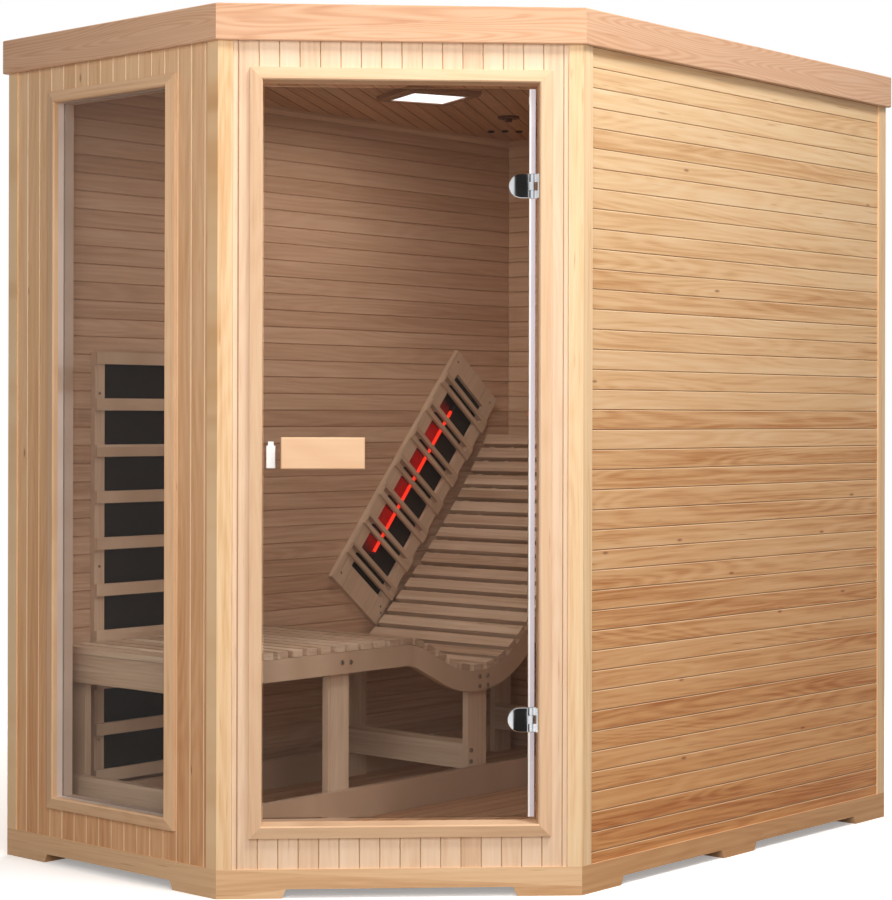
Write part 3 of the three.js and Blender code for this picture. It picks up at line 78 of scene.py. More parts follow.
class Shader:
    """A material that is put together node by node."""

    def __init__(self, name):
        self.material = bpy.data.materials.new(name)
        self.material.use_nodes = True
        self.tree = self.material.node_tree
        self.surface = self.tree.nodes["Principled BSDF"]

    def node(self, kind, **settings):
        made = self.tree.nodes.new("ShaderNode" + kind)
        for key, value in settings.items():
            setattr(made, key, value)
        return made

    def put(self, socket, value):
        if isinstance(value, bpy.types.NodeSocket):
            self.tree.links.new(value, socket)
        else:
            socket.default_value = value

    def place(self):
        return self.node("TexCoord").outputs["Object"]

    def normal(self):
        return self.node("NewGeometry").outputs["True Normal"]

    def math(self, operation, first, second=0.0):
        made = self.node("Math", operation=operation)
        self.put(made.inputs[0], first)
        self.put(made.inputs[1], second)
        return made.outputs[0]

    def sum(self, *terms):
        total = terms[0]
        for term in terms[1:]:
            total = self.math("ADD", total, term)
        return total

    def dot(self, vector, axis):
        made = self.node("VectorMath", operation="DOT_PRODUCT")
        self.put(made.inputs[0], vector)
        self.put(made.inputs[1], axis)
        return made.outputs["Value"]

    def cross(self, first, second):
        made = self.node("VectorMath", operation="CROSS_PRODUCT")
        self.put(made.inputs[0], first)
        self.put(made.inputs[1], second)
        return made.outputs["Vector"]

    def vector(self, x, y, z):
        made = self.node("CombineXYZ")
        for socket, value in zip(made.inputs, (x, y, z)):
            self.put(socket, value)
        return made.outputs[0]

    def noise(self, vector, scale, detail):
        made = self.node("TexNoise")
        self.put(made.inputs["Vector"], vector)
        made.inputs["Scale"].default_value = scale
        made.inputs["Detail"].default_value = detail
        return made.outputs["Fac"]

    def random(self, value):
        made = self.node("TexWhiteNoise", noise_dimensions="1D")
        self.put(made.inputs["W"], value)
        return made.outputs["Value"]

    def choose(self, factor, first, second):
        """Mixes two numbers, which are sockets 2 and 3 of the node."""
        made = self.node("Mix", data_type="FLOAT")
        self.put(made.inputs[0], factor)
        self.put(made.inputs[2], first)
        self.put(made.inputs[3], second)
        return made.outputs[0]

    def tint(self, factor, first, second, blend="MIX"):
        """Mixes two colours, which are sockets 6 and 7 of the node."""
        made = self.node("Mix", data_type="RGBA", blend_type=blend)
        self.put(made.inputs[0], factor)
        self.put(made.inputs[6], first)
        self.put(made.inputs[7], second)
        return made.outputs[2]

    def ramp(self, factor, stops):
        made = self.node("ValToRGB")
        elements = made.color_ramp.elements
        stops = list(stops)
        while len(elements) < len(stops):
            elements.new(0.5)
        for element, (position, colour) in zip(elements, stops):
            element.position = position
            element.color = colour
        self.put(made.inputs[0], factor)
        return made.outputs["Color"]

    def spread(self, value, low, high, out_low, out_high):
        made = self.node("MapRange")
        self.put(made.inputs["Value"], value)
        keys = ("From Min", "From Max", "To Min", "To Max")
        for key, number in zip(keys, (low, high, out_low, out_high)):
            made.inputs[key].default_value = number
        return made.outputs[0]

    def mottle(self, noise, dark, light):
        """A colour between dark and light that follows a noise."""
        return self.ramp(noise, zip(NOISE_RANGE, (dark, light)))

    def bump(self, height, strength, distance):
        made = self.node("Bump")
        made.inputs["Strength"].default_value = strength
        made.inputs["Distance"].default_value = distance
        self.put(made.inputs["Height"], height)
        self.put(self.surface.inputs["Normal"], made.outputs[0])

    def set(self, **values):
        for key, value in values.items():
            self.put(self.surface.inputs[key.replace("_", " ")], value)


# Facing and numbering of boards
INWARD_COSINE = 0.3
INNER_BOARDS_FROM = 100.0
RAILS_FROM = 3.0
CROSS_BOARDS_FROM = 5
MEMBER_STEP = 0.05


# How the grain lies: each layout gives the way along it, the way across it, a number for the board
# and how far the nearest groove is, or None where there are no grooves

def to_groove(shader, distance):
    """Distance to the nearest line of a row of grooves."""
    return shader.math("PINGPONG", distance, BOARD_PITCH / 2)


def level_boards(shader, place):
    """Horizontal boards that run round the cabin."""
    along = shader.dot(place, shader.cross(UP, shader.normal()))
    height = shader.dot(place, UP)
    below = shader.math("SUBTRACT", FASCIA_BOTTOM, height)
    board = shader.math("FLOOR", shader.math("DIVIDE", below, BOARD_PITCH))
    return along, height, board, to_groove(shader, below)


def upright_boards(origin, direction):
    """Vertical boards outside, horizontal boards on the face that looks inwards."""
    inward = UP.cross(direction)

    def layout(shader, place):
        sideways = shader.math("SUBTRACT", shader.dot(place, direction), origin.dot(direction))
        height = shader.dot(place, UP)
        below = shader.math("SUBTRACT", FASCIA_BOTTOM, height)
        inside = shader.math("GREATER_THAN", shader.dot(shader.normal(), inward), INWARD_COSINE)
        counted = shader.choose(inside, sideways, below)
        board = shader.math("FLOOR", shader.math("DIVIDE", counted, BOARD_PITCH))
        along = shader.choose(inside, height, sideways)
        across = shader.choose(inside, sideways, height)
        numbered = shader.sum(board, shader.math("MULTIPLY", inside, INNER_BOARDS_FROM))
        return along, across, numbered, to_groove(shader, counted)
    return layout


def one_board(direction, number):
    """One piece with the grain along direction; the number picks its figure."""
    side = direction.orthogonal().normalized()
    other = direction.cross(side)

    def layout(shader, place):
        along = shader.dot(place, direction)
        across = shader.sum(shader.dot(place, side), shader.dot(place, other))
        return along, across, number, None
    return layout


def flat_boards(direction, stack):
    """Boards side by side along stack, with grooves between them."""
    def layout(shader, place):
        row = shader.dot(place, stack)
        board = shader.math("FLOOR", shader.math("DIVIDE", row, BOARD_PITCH))
        return shader.dot(place, direction), row, board, to_groove(shader, row)
    return layout


def mitred_frame(direction, ends, number):
    """Four mitred members between ends, measured from the door's left corner: upright and level grain."""
    middle = DOOR_CORNER.dot(direction) + sum(ends) / 2
    half = (ends[1] - ends[0]) / 2
    centre = sum(MOULDING_LEVELS) / 2
    tall = (MOULDING_LEVELS[1] - MOULDING_LEVELS[0]) / 2

    def layout(shader, place):
        sideways = shader.math("SUBTRACT", shader.dot(place, direction), middle)
        height = shader.math("SUBTRACT", shader.dot(place, UP), centre)
        beside = shader.math("SUBTRACT", shader.math("ABSOLUTE", sideways), half)
        above = shader.math("SUBTRACT", shader.math("ABSOLUTE", height), tall)
        stile = shader.math("GREATER_THAN", beside, above)
        along = shader.choose(stile, sideways, height)
        across = shader.choose(stile, height, sideways)
        right = shader.math("GREATER_THAN", sideways, 0.0)
        top = shader.math("GREATER_THAN", height, 0.0)
        board = shader.sum(shader.choose(stile, shader.math("ADD", top, RAILS_FROM), right), float(number))
        return along, across, board, None
    return layout


def crossing(first, second, test, number):
    """Two sets of members that cross: test(shader, place) is 1 on the second set."""
    def layout(shader, place):
        pick = test(shader, place)
        one = one_board(first, number)(shader, place)
        two = one_board(second, number + CROSS_BOARDS_FROM)(shader, place)
        along = shader.choose(pick, one[0], two[0])
        across = shader.choose(pick, one[1], two[1])
        piece = shader.math("FLOOR", shader.math("DIVIDE", shader.dot(place, first), MEMBER_STEP))
        return along, across, shader.choose(pick, float(number), piece), None
    return layout


# Painted groove lines: a painted highlight on each groove's shoulders and painted shade at its bottom, softer
# inside the cabin
GROOVE_SHADE = linear(142, 104, 78)
GROOVE_HIGHLIGHT = linear(248, 224, 190)
GROOVE_SHOULDER = 0.0016
INNER_GROOVE_SHADE = linear(200, 166, 140)
LINE_WIDTHS = (0.0003, 0.001)
SHOULDER_AMOUNT = 0.6
BOTTOM_AMOUNT = 0.7

# Grain: waves a metre along and across the fibres, and the detail of the noise
SLOW_BANDS = (1.3, 22.0, 2.0)
STREAKS = (2.6, 95.0, 2.0)
FIBRES = (14.0, 640.0, 2.0)
CROWN_CUT = (1.1, 13.0, 1.0)
FLECKS = (9.0, 150.0, 1.0)
BAND_WEIGHT = 0.4
STREAK_WEIGHT = 0.5
FIBRE_WEIGHT = 0.3
CROWN_WEIGHT = 0.05
MIDDLE_TONE = 0.5
TONE_STOPS = (0.1, 0.5, 0.9)
BOARD_SHIFTS = (23.0, 7.0)
FLECK_RANGE = (0.7, 0.8)
FLECK_AMOUNT = 0.4
AMBER = (0.72, 0.58, 0.42)
KNOT_CELLS = (5.0, 15.0)
KNOT_RADII = (0.02, 0.065)
KNOT_AMOUNT = 0.7
KNOT_DARKNESS = (0.42, 0.3, 0.22)
# Painted shade: boards grow darker and warmer towards the bottom between these heights, where the grain is
# also livelier
LOW_TO_HIGH = (0.1, 1.75)
LOW_LIVELINESS = 1.1
LOW_SHADE_TINT = (0.73, 0.465, 0.25, 1.0)
SAME_WAY_COSINE = 0.9
INTO_CABIN = -0.05
WOOD_ROUGHNESS = (0.4, 0.58)
WOOD_SPECULAR = 0.3
FIBRE_HEIGHT = 0.6
STREAK_HEIGHT = 0.4
WOOD_BUMP = (0.12, 0.0006)


def scaled(colour, factors):
    """A colour with each channel scaled."""
    return tuple(channel * factor for channel, factor in zip(colour, factors)) + (1.0,)


def wood(name, tones, layout, contrast=1.0, variety=0.4, crown=1.0, crown_lines=95.0, low_shade_and_contrast=0.0,
         within=None, shaded_facing=None, knots=0.0, fully_shaded_grooves=False):
    """Pale softwood: slow bands, crown-cut figure, fine fibres and a tone of its own for each board.

    The tones in within are for the faces that look into the cabin. A direction given with tones paints shade:
    the faces that look that way take those darker tones.
    A low-shade amount makes low boards livelier in grain and paints shade on them, darker and warmer towards
    the bottom.
    Groove lines get a painted highlight on their shoulders and painted shade at their bottom.
    """
    shader = Shader(name)
    place = shader.place()
    along, across, board, groove = layout(shader, place)
    own = shader.random(board)
    shift = shader.math("MULTIPLY", own, BOARD_SHIFTS[0])
    run = shader.math("ADD", along, shift)
    side = shader.math("ADD", across, shader.math("MULTIPLY", own, BOARD_SHIFTS[1]))

    def grain(along_scale, across_scale, detail):
        stretched = shader.vector(
            shader.math("MULTIPLY", run, along_scale), shader.math("MULTIPLY", side, across_scale), shift)
        return shader.noise(stretched, 1.0, detail)

    def weighed(value, weight):
        return shader.math("MULTIPLY", shader.math("SUBTRACT", value, MIDDLE_TONE), weight)

    slow = grain(*SLOW_BANDS)
    streak = grain(*STREAKS)
    fibre = grain(*FIBRES)
    rings = shader.math("SINE", shader.math("MULTIPLY", grain(*CROWN_CUT), crown_lines))
    figure = shader.sum(
        weighed(slow, BAND_WEIGHT * contrast),
        weighed(streak, STREAK_WEIGHT * contrast),
        weighed(fibre, FIBRE_WEIGHT * contrast),
        shader.math("MULTIPLY", rings, CROWN_WEIGHT * crown),
        weighed(own, variety),
        MIDDLE_TONE,
    )
    if low_shade_and_contrast:
        most = 1.0 + LOW_LIVELINESS * low_shade_and_contrast
        livelier = shader.spread(shader.dot(place, UP), *LOW_TO_HIGH, most, 1.0)
        figure = shader.sum(weighed(figure, livelier), MIDDLE_TONE)
    colour = shader.ramp(figure, zip(TONE_STOPS, tones))
    # Painted shade: faces that look the given way take darker, shaded tones
    if shaded_facing:
        direction, shaded_tones = shaded_facing
        turned_there = shader.math("GREATER_THAN", shader.dot(shader.normal(), direction), SAME_WAY_COSINE)
        colour = shader.tint(turned_there, colour, shader.ramp(figure, zip(TONE_STOPS, shaded_tones)))
    flecks = shader.spread(grain(*FLECKS), *FLECK_RANGE, 0.0, FLECK_AMOUNT * contrast)
    colour = shader.tint(flecks, colour, scaled(tones[0], AMBER))
    if knots:
        cells = shader.node("TexVoronoi", voronoi_dimensions="2D")
        lengthwise = shader.math("MULTIPLY", run, KNOT_CELLS[0])
        crosswise = shader.math("MULTIPLY", side, KNOT_CELLS[1])
        shader.put(cells.inputs["Vector"], shader.vector(lengthwise, crosswise, 0.0))
        cells.inputs["Scale"].default_value = 1.0
        drawn = shader.node("SeparateColor")
        shader.put(drawn.inputs[0], cells.outputs["Color"])
        rare = shader.math("LESS_THAN", drawn.outputs[0], knots)
        spot = shader.spread(cells.outputs["Distance"], *KNOT_RADII, KNOT_AMOUNT, 0.0)
        colour = shader.tint(shader.math("MULTIPLY", rare, spot), colour, scaled(tones[0], KNOT_DARKNESS))
    # Painted shade: low boards are multiplied darker and warmer towards the bottom
    if low_shade_and_contrast:
        low = shader.spread(shader.dot(place, UP), *LOW_TO_HIGH, low_shade_and_contrast, 0.0)
        colour = shader.tint(low, colour, LOW_SHADE_TINT, "MULTIPLY")
    # Painted highlight on the groove shoulders and painted shade at the bottom; floor and ceiling get painted
    # shade on both
    shoulder_paint = GROOVE_SHADE if fully_shaded_grooves else GROOVE_HIGHLIGHT
    painted_groove_shade = GROOVE_SHADE
    if within:
        level = shader.vector(shader.dot(place, EAST), shader.dot(place, NORTH), 0.0)
        inside = shader.math("LESS_THAN", shader.dot(level, shader.normal()), INTO_CABIN)
        colour = shader.tint(inside, colour, shader.ramp(figure, zip(TONE_STOPS, within)))
        shoulder_paint = shader.tint(inside, shoulder_paint, INNER_GROOVE_SHADE)
        painted_groove_shade = shader.tint(inside, GROOVE_SHADE, INNER_GROOVE_SHADE)
    # Paints the groove lines: painted highlight or shade on the shoulders, painted shade at the bottom
    if groove is not None:
        shoulder = shader.math("ABSOLUTE", shader.math("SUBTRACT", groove, GROOVE_SHOULDER))
        colour = shader.tint(shader.spread(shoulder, *LINE_WIDTHS, SHOULDER_AMOUNT, 0.0), colour, shoulder_paint)
        colour = shader.tint(shader.spread(groove, *LINE_WIDTHS, BOTTOM_AMOUNT, 0.0), colour, painted_groove_shade)
    shader.set(Base_Color=colour, Roughness=shader.spread(fibre, *NOISE_RANGE, *WOOD_ROUGHNESS))
    shader.surface.inputs["Specular IOR Level"].default_value = WOOD_SPECULAR
    fibre_height = shader.math("MULTIPLY", fibre, FIBRE_HEIGHT)
    streak_height = shader.math("MULTIPLY", streak, STREAK_HEIGHT)
    shader.bump(shader.sum(fibre_height, streak_height), *WOOD_BUMP)
    return shader.material


# Tones from dark to light
DOOR_TONES = (linear(214, 174, 142), linear(234, 203, 174), linear(243, 217, 193))
FRAME_TONES = (linear(202, 158, 122), linear(227, 190, 155), linear(237, 206, 175))
WINDOW_FRAME_TONES = (linear(198, 150, 110), linear(225, 185, 147), linear(236, 203, 168))
WINDOW_JAMB_TONES = (linear(196, 174, 160), linear(216, 196, 184), linear(228, 210, 200))
WINDOW_TONES = (linear(208, 160, 116), linear(232, 191, 150), linear(243, 212, 175))
STRIP_TONES = (linear(210, 160, 108), linear(236, 201, 159), linear(246, 219, 182))
BASE_TONES = (linear(194, 146, 102), linear(222, 181, 140), linear(236, 201, 162))
# Painted shade: darker tones for the base's east side
BASE_SHADED_SIDE_TONES = (linear(164, 112, 68), linear(198, 148, 100), linear(218, 174, 128))
SIDE_TONES = (linear(192, 134, 78), linear(234, 197, 152), linear(247, 221, 184))
ROOF_TONES = (linear(186, 131, 97), linear(216, 171, 138), linear(231, 195, 165))
PULL_TONES = (linear(218, 172, 134), linear(233, 195, 160), linear(242, 210, 178))
INNER_TONES = (linear(178, 142, 116), linear(205, 172, 146), linear(222, 193, 168))
FLOOR_TONES = (linear(166, 124, 94), linear(194, 154, 120), linear(212, 178, 146))
# Painted shade: the vent's wood is darker, to stand for the shade round the vent
VENT_SHADED_TONES = (linear(88, 60, 44), linear(112, 80, 60), linear(134, 100, 76))
SLAT_TONES = (linear(176, 148, 124), linear(207, 182, 159), linear(227, 207, 186))
BACK_TONES = (linear(194, 158, 130), linear(220, 188, 160), linear(235, 207, 181))


def dress(material, *names):
    """Gives the named nodes one material."""
    for name in names:
        slots = nodes[name].data.materials
        slots.clear()
        slots.append(material)


BEVEL_SEGMENTS = 2
BEVEL_ANGLE = math.radians(40)


def soften(width, *names):
    """Rounds the sharp edges a little, so that they catch the light."""
    for name in names:
        bevel = nodes[name].modifiers.new("soft_edges", "BEVEL")
        bevel.width = width
        bevel.segments = BEVEL_SEGMENTS
        bevel.limit_method = "ANGLE"
        bevel.angle_limit = BEVEL_ANGLE
        bevel.use_clamp_overlap = True
        bevel.harden_normals = False


# Outside walls, strips, base and roof
# The window wall and the side walls get painted shade towards their bottom
dress(wood("window_boards", WINDOW_TONES, upright_boards(DOOR_CORNER, EAST), variety=0.2, low_shade_and_contrast=0.5,
           within=INNER_TONES, knots=0.08), "window_wall")
dress(wood("door_boards", DOOR_TONES, upright_boards(DOOR_CORNER, DOOR_ALONG), variety=0.26,
           within=INNER_TONES), "door_wall")
side_walls = {"right_wall": INNER_TONES, "back_wall": BACK_TONES, "left_wall": INNER_TONES}
for name, inner_tones in side_walls.items():
    dress(wood(name + "_boards", SIDE_TONES, level_boards, variety=0.2, low_shade_and_contrast=0.9,
               within=inner_tones, knots=0.09), name)
strips = [
    "corner_strip_front_left", "corner_strip_door_left", "corner_strip_door_right",
    "corner_strip_back_right", "corner_strip_back_left",
]
STRIPS_FROM = 11.0
for number, name in enumerate(strips):
    strip_wood = one_board(UP, number + STRIPS_FROM)
    dress(wood("strip_%d" % number, STRIP_TONES, strip_wood, contrast=1.3, variety=0.1), name)

# What a face's direction adds to the number of its board
SIDE_NUMBERS = (3.0, 7.0)


def ring_rail(number):
    """A rail round the cabin, with a board of its own on each side."""
    def layout(shader, place):
        along, across = level_boards(shader, place)[:2]
        return along, across, shader.dot(shader.normal(), Vector((*SIDE_NUMBERS, number))), None
    return layout


# The base and feet get painted shade on their east faces
base_shaded_side = (EAST, BASE_SHADED_SIDE_TONES)
dress(wood("base_rail", BASE_TONES, ring_rail(2.0), contrast=1.2, shaded_facing=base_shaded_side), "base_frame")
feet = [name for name in nodes if name.startswith("foot_")]
dress(wood("foot_wood", BASE_TONES, ring_rail(4.0), shaded_facing=base_shaded_side), *feet)
dress(wood("fascia_wood", ROOF_TONES, ring_rail(6.0), contrast=0.7, variety=0.2, crown=2.2,
           crown_lines=170.0), "roof_fascia")
dress(wood("cover_wood", ROOF_TONES, one_board(NORTH, 3.0), contrast=0.7, crown=2.4), "roof_cover")

# Mouldings, jambs and pulls
WINDOW_ENDS = (-0.567, -0.133)
DOOR_ENDS = (0.0683, 0.7123)
dress(wood("window_frame_wood", WINDOW_FRAME_TONES, mitred_frame(EAST, WINDOW_ENDS, 20), variety=0.08),
      "window_moulding")
dress(wood("window_jamb_wood", WINDOW_JAMB_TONES, mitred_frame(EAST, WINDOW_ENDS, 24), variety=0.08),
      "window_jamb")
dress(wood("door_frame_wood", FRAME_TONES, mitred_frame(DOOR_ALONG, DOOR_ENDS, 30), variety=0.08),
      "door_moulding", "door_jamb")
dress(wood("pull_wood", PULL_TONES, one_board(DOOR_ALONG, 41.0), contrast=0.7),
      "door_pull_outer", "door_pull_inner")

# Inside
dress(wood("floor_boards", FLOOR_TONES, flat_boards(NORTH, EAST), variety=0.35, fully_shaded_grooves=True),
      "floor_panel")
CEILING_TURN = math.radians(31)
ceiling_along = Vector((-math.sin(CEILING_TURN), math.cos(CEILING_TURN), 0.0))
ceiling_stack = Vector((math.cos(CEILING_TURN), math.sin(CEILING_TURN), 0.0))
ceiling = wood("ceiling_boards", FLOOR_TONES, flat_boards(ceiling_along, ceiling_stack), fully_shaded_grooves=True)
dress(ceiling, "ceiling_panel")
dress(wood("cornice_wood", INNER_TONES, ring_rail(8.0)), "ceiling_cornice")
# The vent cap carries painted shade in its darker tones
dress(wood("vent_wood", VENT_SHADED_TONES, one_board(EAST, 51.0)), "vent_cap")


SLAT_STEP = 0.0466
BACKREST_FROM = 0.46
BACKREST_SHARE = 0.75


def slat_layout(shader, place):
    """Slats across the lounger, counted along it and up its back."""
    along, across = one_board(EAST, 0.0)(shader, place)[:2]
    rise = shader.math("MAXIMUM", shader.math("SUBTRACT", shader.dot(place, UP), BACKREST_FROM), 0.0)
    row = shader.math("ADD", shader.dot(place, NORTH), shader.math("MULTIPLY", rise, BACKREST_SHARE))
    return along, across, shader.math("FLOOR", shader.math("DIVIDE", row, SLAT_STEP)), None


dress(wood("slat_wood", SLAT_TONES, slat_layout, contrast=1.5),
      "lounger_leg_slats", "lounger_seat_slats", "lounger_back_slats")
dress(wood("rail_wood_near", SLAT_TONES, one_board(NORTH, 61.0)), "lounger_rail_near")
dress(wood("rail_wood_far", SLAT_TONES, one_board(NORTH, 62.0)), "lounger_rail_far")
dress(wood("floor_rail_wood", SLAT_TONES, one_board(NORTH, 63.0)),
      "lounger_floor_rail_near", "lounger_floor_rail_far")
dress(wood("apron_wood", SLAT_TONES, one_board(EAST, 64.0)), "lounger_apron")


def between_legs(low, high):
    """1 between two legs, where the boards across them lie."""
    def test(shader, place):
        x = shader.dot(place, EAST)
        return shader.math("MULTIPLY", shader.math("GREATER_THAN", x, low), shader.math("LESS_THAN", x, high))
    return test


BETWEEN_LEGS = (-0.5075, -0.1065)
BETWEEN_FRONT_LEGS = (-0.489, -0.138)
dress(wood("trestle_wood", SLAT_TONES, crossing(UP, EAST, between_legs(*BETWEEN_LEGS), 70)),
      "lounger_trestle_leg", "lounger_trestle_seat", "lounger_trestle_back")
dress(wood("front_trestle_wood", SLAT_TONES, crossing(UP, EAST, between_legs(*BETWEEN_FRONT_LEGS), 71)),
      "lounger_trestle_front")


FACE_MARGIN = 0.0006


def in_front(shader, place):
    """1 on the slats in front of a heater's frame."""
    return shader.math("GREATER_THAN", shader.dot(place, EAST), HEATER_FRAME_FACE + FACE_MARGIN)


dress(wood("wall_guard_wood", SLAT_TONES, crossing(UP, NORTH, in_front, 80), variety=0.25),
      "wall_heater_guard")
dress(wood("slant_guard_wood", SLAT_TONES, crossing(SLANT_ALONG, SLANT_ACROSS, in_front, 84), variety=0.25),
      "slant_heater_guard")

# Glass: bronze tint, very smooth
CLOUD_SCALE = 1.7
GLASS_ROUGHNESS = (0.0, 0.01)
GLASS_IOR = 1.15
glass = Shader("bronze_glass")
cloud = glass.noise(glass.place(), CLOUD_SCALE, detail=1.0)
glass.set(Base_Color=glass.mottle(cloud, linear(206, 201, 195), linear(211, 206, 201)),
          Roughness=glass.spread(cloud, *NOISE_RANGE, *GLASS_ROUGHNESS))
glass.surface.inputs["Transmission Weight"].default_value = 1.0
glass.surface.inputs["IOR"].default_value = GLASS_IOR
dress(glass.material, "window_glass", "door_glass")
for name in ("window_glass", "door_glass"):
    nodes[name].visible_shadow = False

# Chrome
SMEAR_SCALE = 24.0
CHROME_ROUGHNESS = (0.01, 0.03)
chrome = Shader("polished_chrome")
smear = chrome.noise(chrome.place(), SMEAR_SCALE, detail=2.0)
chrome.set(Base_Color=chrome.mottle(smear, linear(206, 208, 211), linear(222, 224, 226)),
           Roughness=chrome.spread(smear, *NOISE_RANGE, *CHROME_ROUGHNESS))
chrome.surface.inputs["Metallic"].default_value = 1.0
dress(chrome.material, "hinge_leaf_lower", "hinge_leaf_upper", "hinge_clamp_lower", "hinge_clamp_upper")

# Carbon panels
WEAVE_SCALE = 420.0
DUST_SCALE = 60.0
WEAVE_SHARE = 0.25
DUST_SHARE = 0.6
CARBON_TONES = [(0.2, linear(15, 13, 12)), (0.75, linear(35, 30, 27))]
CARBON_ROUGHNESS = (0.5, 0.7)
CARBON_BUMP = (0.1, 0.0004)
carbon = Shader("carbon_panel")
place = carbon.place()
weave = carbon.node("TexChecker")
weave.inputs["Scale"].default_value = WEAVE_SCALE
carbon.put(weave.inputs["Vector"], place)
dust = carbon.noise(place, DUST_SCALE, detail=3.0)
threads = carbon.math("MULTIPLY", weave.outputs["Fac"], WEAVE_SHARE)
shade = carbon.sum(threads, carbon.math("MULTIPLY", dust, DUST_SHARE))
carbon.set(Base_Color=carbon.ramp(shade, CARBON_TONES),
           Roughness=carbon.spread(dust, *NOISE_RANGE, *CARBON_ROUGHNESS))
carbon.bump(weave.outputs["Fac"], *CARBON_BUMP)
dress(carbon.material, "wall_heater_panel")

# The slanted panel has a painted red glow from the tube on its upper side, with painted slat shadows between
# and fading at the ends
GLOW_START = (TUBE_ACROSS - 0.006, TUBE_ACROSS + 0.002)
GLOW_FADE = (TUBE_ACROSS + 0.03, TUBE_ACROSS + 0.08)
GLOW_LEFT = 0.5
GLOW_ENDS = (0.215, 0.265)
SLAT_SHADOW = (0.014, 0.022)
GRIME_AND_GLOW_SCALE = 70.0
GLOW_ROUGHNESS = (0.45, 0.65)
GLOW_STRENGTH = 0.5
glow = Shader("lit_panel")
place = glow.place()
offset = Vector((0.0, SLANT_CENTRE.y, SLANT_CENTRE.z))
lift = glow.math("SUBTRACT", glow.dot(place, SLANT_ACROSS), offset.dot(SLANT_ACROSS))
reach = glow.math("SUBTRACT", glow.dot(place, SLANT_ALONG), offset.dot(SLANT_ALONG))
near_tube = glow.math("MULTIPLY",
                      glow.spread(lift, *GLOW_START, 0.0, 1.0),
                      glow.spread(lift, *GLOW_FADE, 1.0, GLOW_LEFT))
ends = glow.spread(glow.math("ABSOLUTE", reach), *GLOW_ENDS, 1.0, 0.0)
between = glow.spread(glow.math("PINGPONG", reach, SLANT_PITCH / 2), *SLAT_SHADOW, 0.0, 1.0)
light = glow.math("MULTIPLY", glow.math("MULTIPLY", near_tube, ends), between)
# One noise mottles both the panel's own grime and the painted glow
grime_and_glow_mottle = glow.noise(place, GRIME_AND_GLOW_SCALE, detail=3.0)
unlit = glow.mottle(grime_and_glow_mottle, linear(18, 15, 14), linear(40, 33, 30))
# Painted glow: red base colour and emission where the tube's light falls
glow.set(Base_Color=glow.tint(light, unlit, linear(96, 8, 8)),
         Roughness=glow.spread(grime_and_glow_mottle, *NOISE_RANGE, *GLOW_ROUGHNESS),
         Emission_Color=glow.mottle(grime_and_glow_mottle, linear(150, 6, 6), linear(214, 16, 14)),
         Emission_Strength=glow.math("MULTIPLY", light, GLOW_STRENGTH))
dress(glow.material, "slant_heater_panel")

# The tube is lit between its dark caps
TUBE_CAPS = (TUBE_LIT - 0.002, TUBE_LIT + 0.001)
COIL_TURNS = 900.0
TUBE_STRENGTH = 1.6
TUBE_ROUGHNESS = (0.2, 0.3)
WAVE_RANGE = (-1.0, 1.0)
tube = Shader("red_tube")
place = tube.place()
reach = tube.math("SUBTRACT", tube.dot(place, SLANT_ALONG), offset.dot(SLANT_ALONG))
middle = tube.spread(tube.math("ABSOLUTE", reach), *TUBE_CAPS, 1.0, 0.0)
coil = tube.math("SINE", tube.math("MULTIPLY", reach, COIL_TURNS))
tube.set(Base_Color=tube.tint(middle, linear(40, 34, 31), linear(236, 44, 28)),
         Emission_Color=tube.ramp(coil, [(0.0, linear(255, 34, 18)), (1.0, linear(255, 74, 46))]),
         Emission_Strength=tube.math("MULTIPLY", middle, TUBE_STRENGTH),
         Roughness=tube.spread(coil, *WAVE_RANGE, *TUBE_ROUGHNESS))
dress(tube.material, "slant_heater_tube")

# Plastic and paint
PLASTIC_SCALE = 260.0
PLASTIC_SMOOTHER = 0.05
PLASTIC_ROUGHER = 0.08
PLASTIC_BUMP = (0.06, 0.0003)


def plastic(name, dark, light, rough):
    """Moulded plastic or paint with a fine grain."""
    shader = Shader(name)
    grain = shader.noise(shader.place(), PLASTIC_SCALE, detail=3.0)
    roughness = (rough - PLASTIC_SMOOTHER, rough + PLASTIC_ROUGHER)
    shader.set(Base_Color=shader.mottle(grain, dark, light),
               Roughness=shader.spread(grain, *NOISE_RANGE, *roughness))
    shader.bump(grain, *PLASTIC_BUMP)
    return shader.material


# The seal is grey, with a painted highlight of the glass's edge as a pale line towards the glass
SEAL_HIGHLIGHT_EDGE = (0.6682, 0.6698)
HAZE_SCALE = 4.0
SEAL_ROUGHNESS = (0.22, 0.34)
seal = Shader("seal_plastic")
place = seal.place()
sideways = seal.math("SUBTRACT", seal.dot(place, DOOR_ALONG), DOOR_CORNER.dot(DOOR_ALONG))
glass_edge_highlight = seal.spread(sideways, *SEAL_HIGHLIGHT_EDGE, 1.0, 0.0)
haze = seal.noise(seal.vector(0.0, 0.0, seal.dot(place, UP)), HAZE_SCALE, detail=2.0)
grey = seal.mottle(haze, linear(194, 188, 200), linear(216, 211, 222))
seal.set(Base_Color=seal.tint(glass_edge_highlight, grey, linear(244, 242, 242)),
         Roughness=seal.spread(haze, *NOISE_RANGE, *SEAL_ROUGHNESS))
dress(seal.material, "door_seal")
dress(plastic("white_plastic", linear(232, 232, 232), linear(246, 246, 246), rough=0.36),
      "door_catch", "button_heat", "button_light")
dark_plastic = plastic("dark_plastic", linear(34, 30, 27), linear(52, 46, 41), rough=0.42)
dress(dark_plastic, "control_panel")
dress(plastic("lamp_rim", linear(140, 102, 76), linear(164, 124, 94), rough=0.5), "lamp_housing")
dress(plastic("box_paint", linear(140, 142, 145), linear(158, 160, 163), rough=0.5), "power_supply_box")

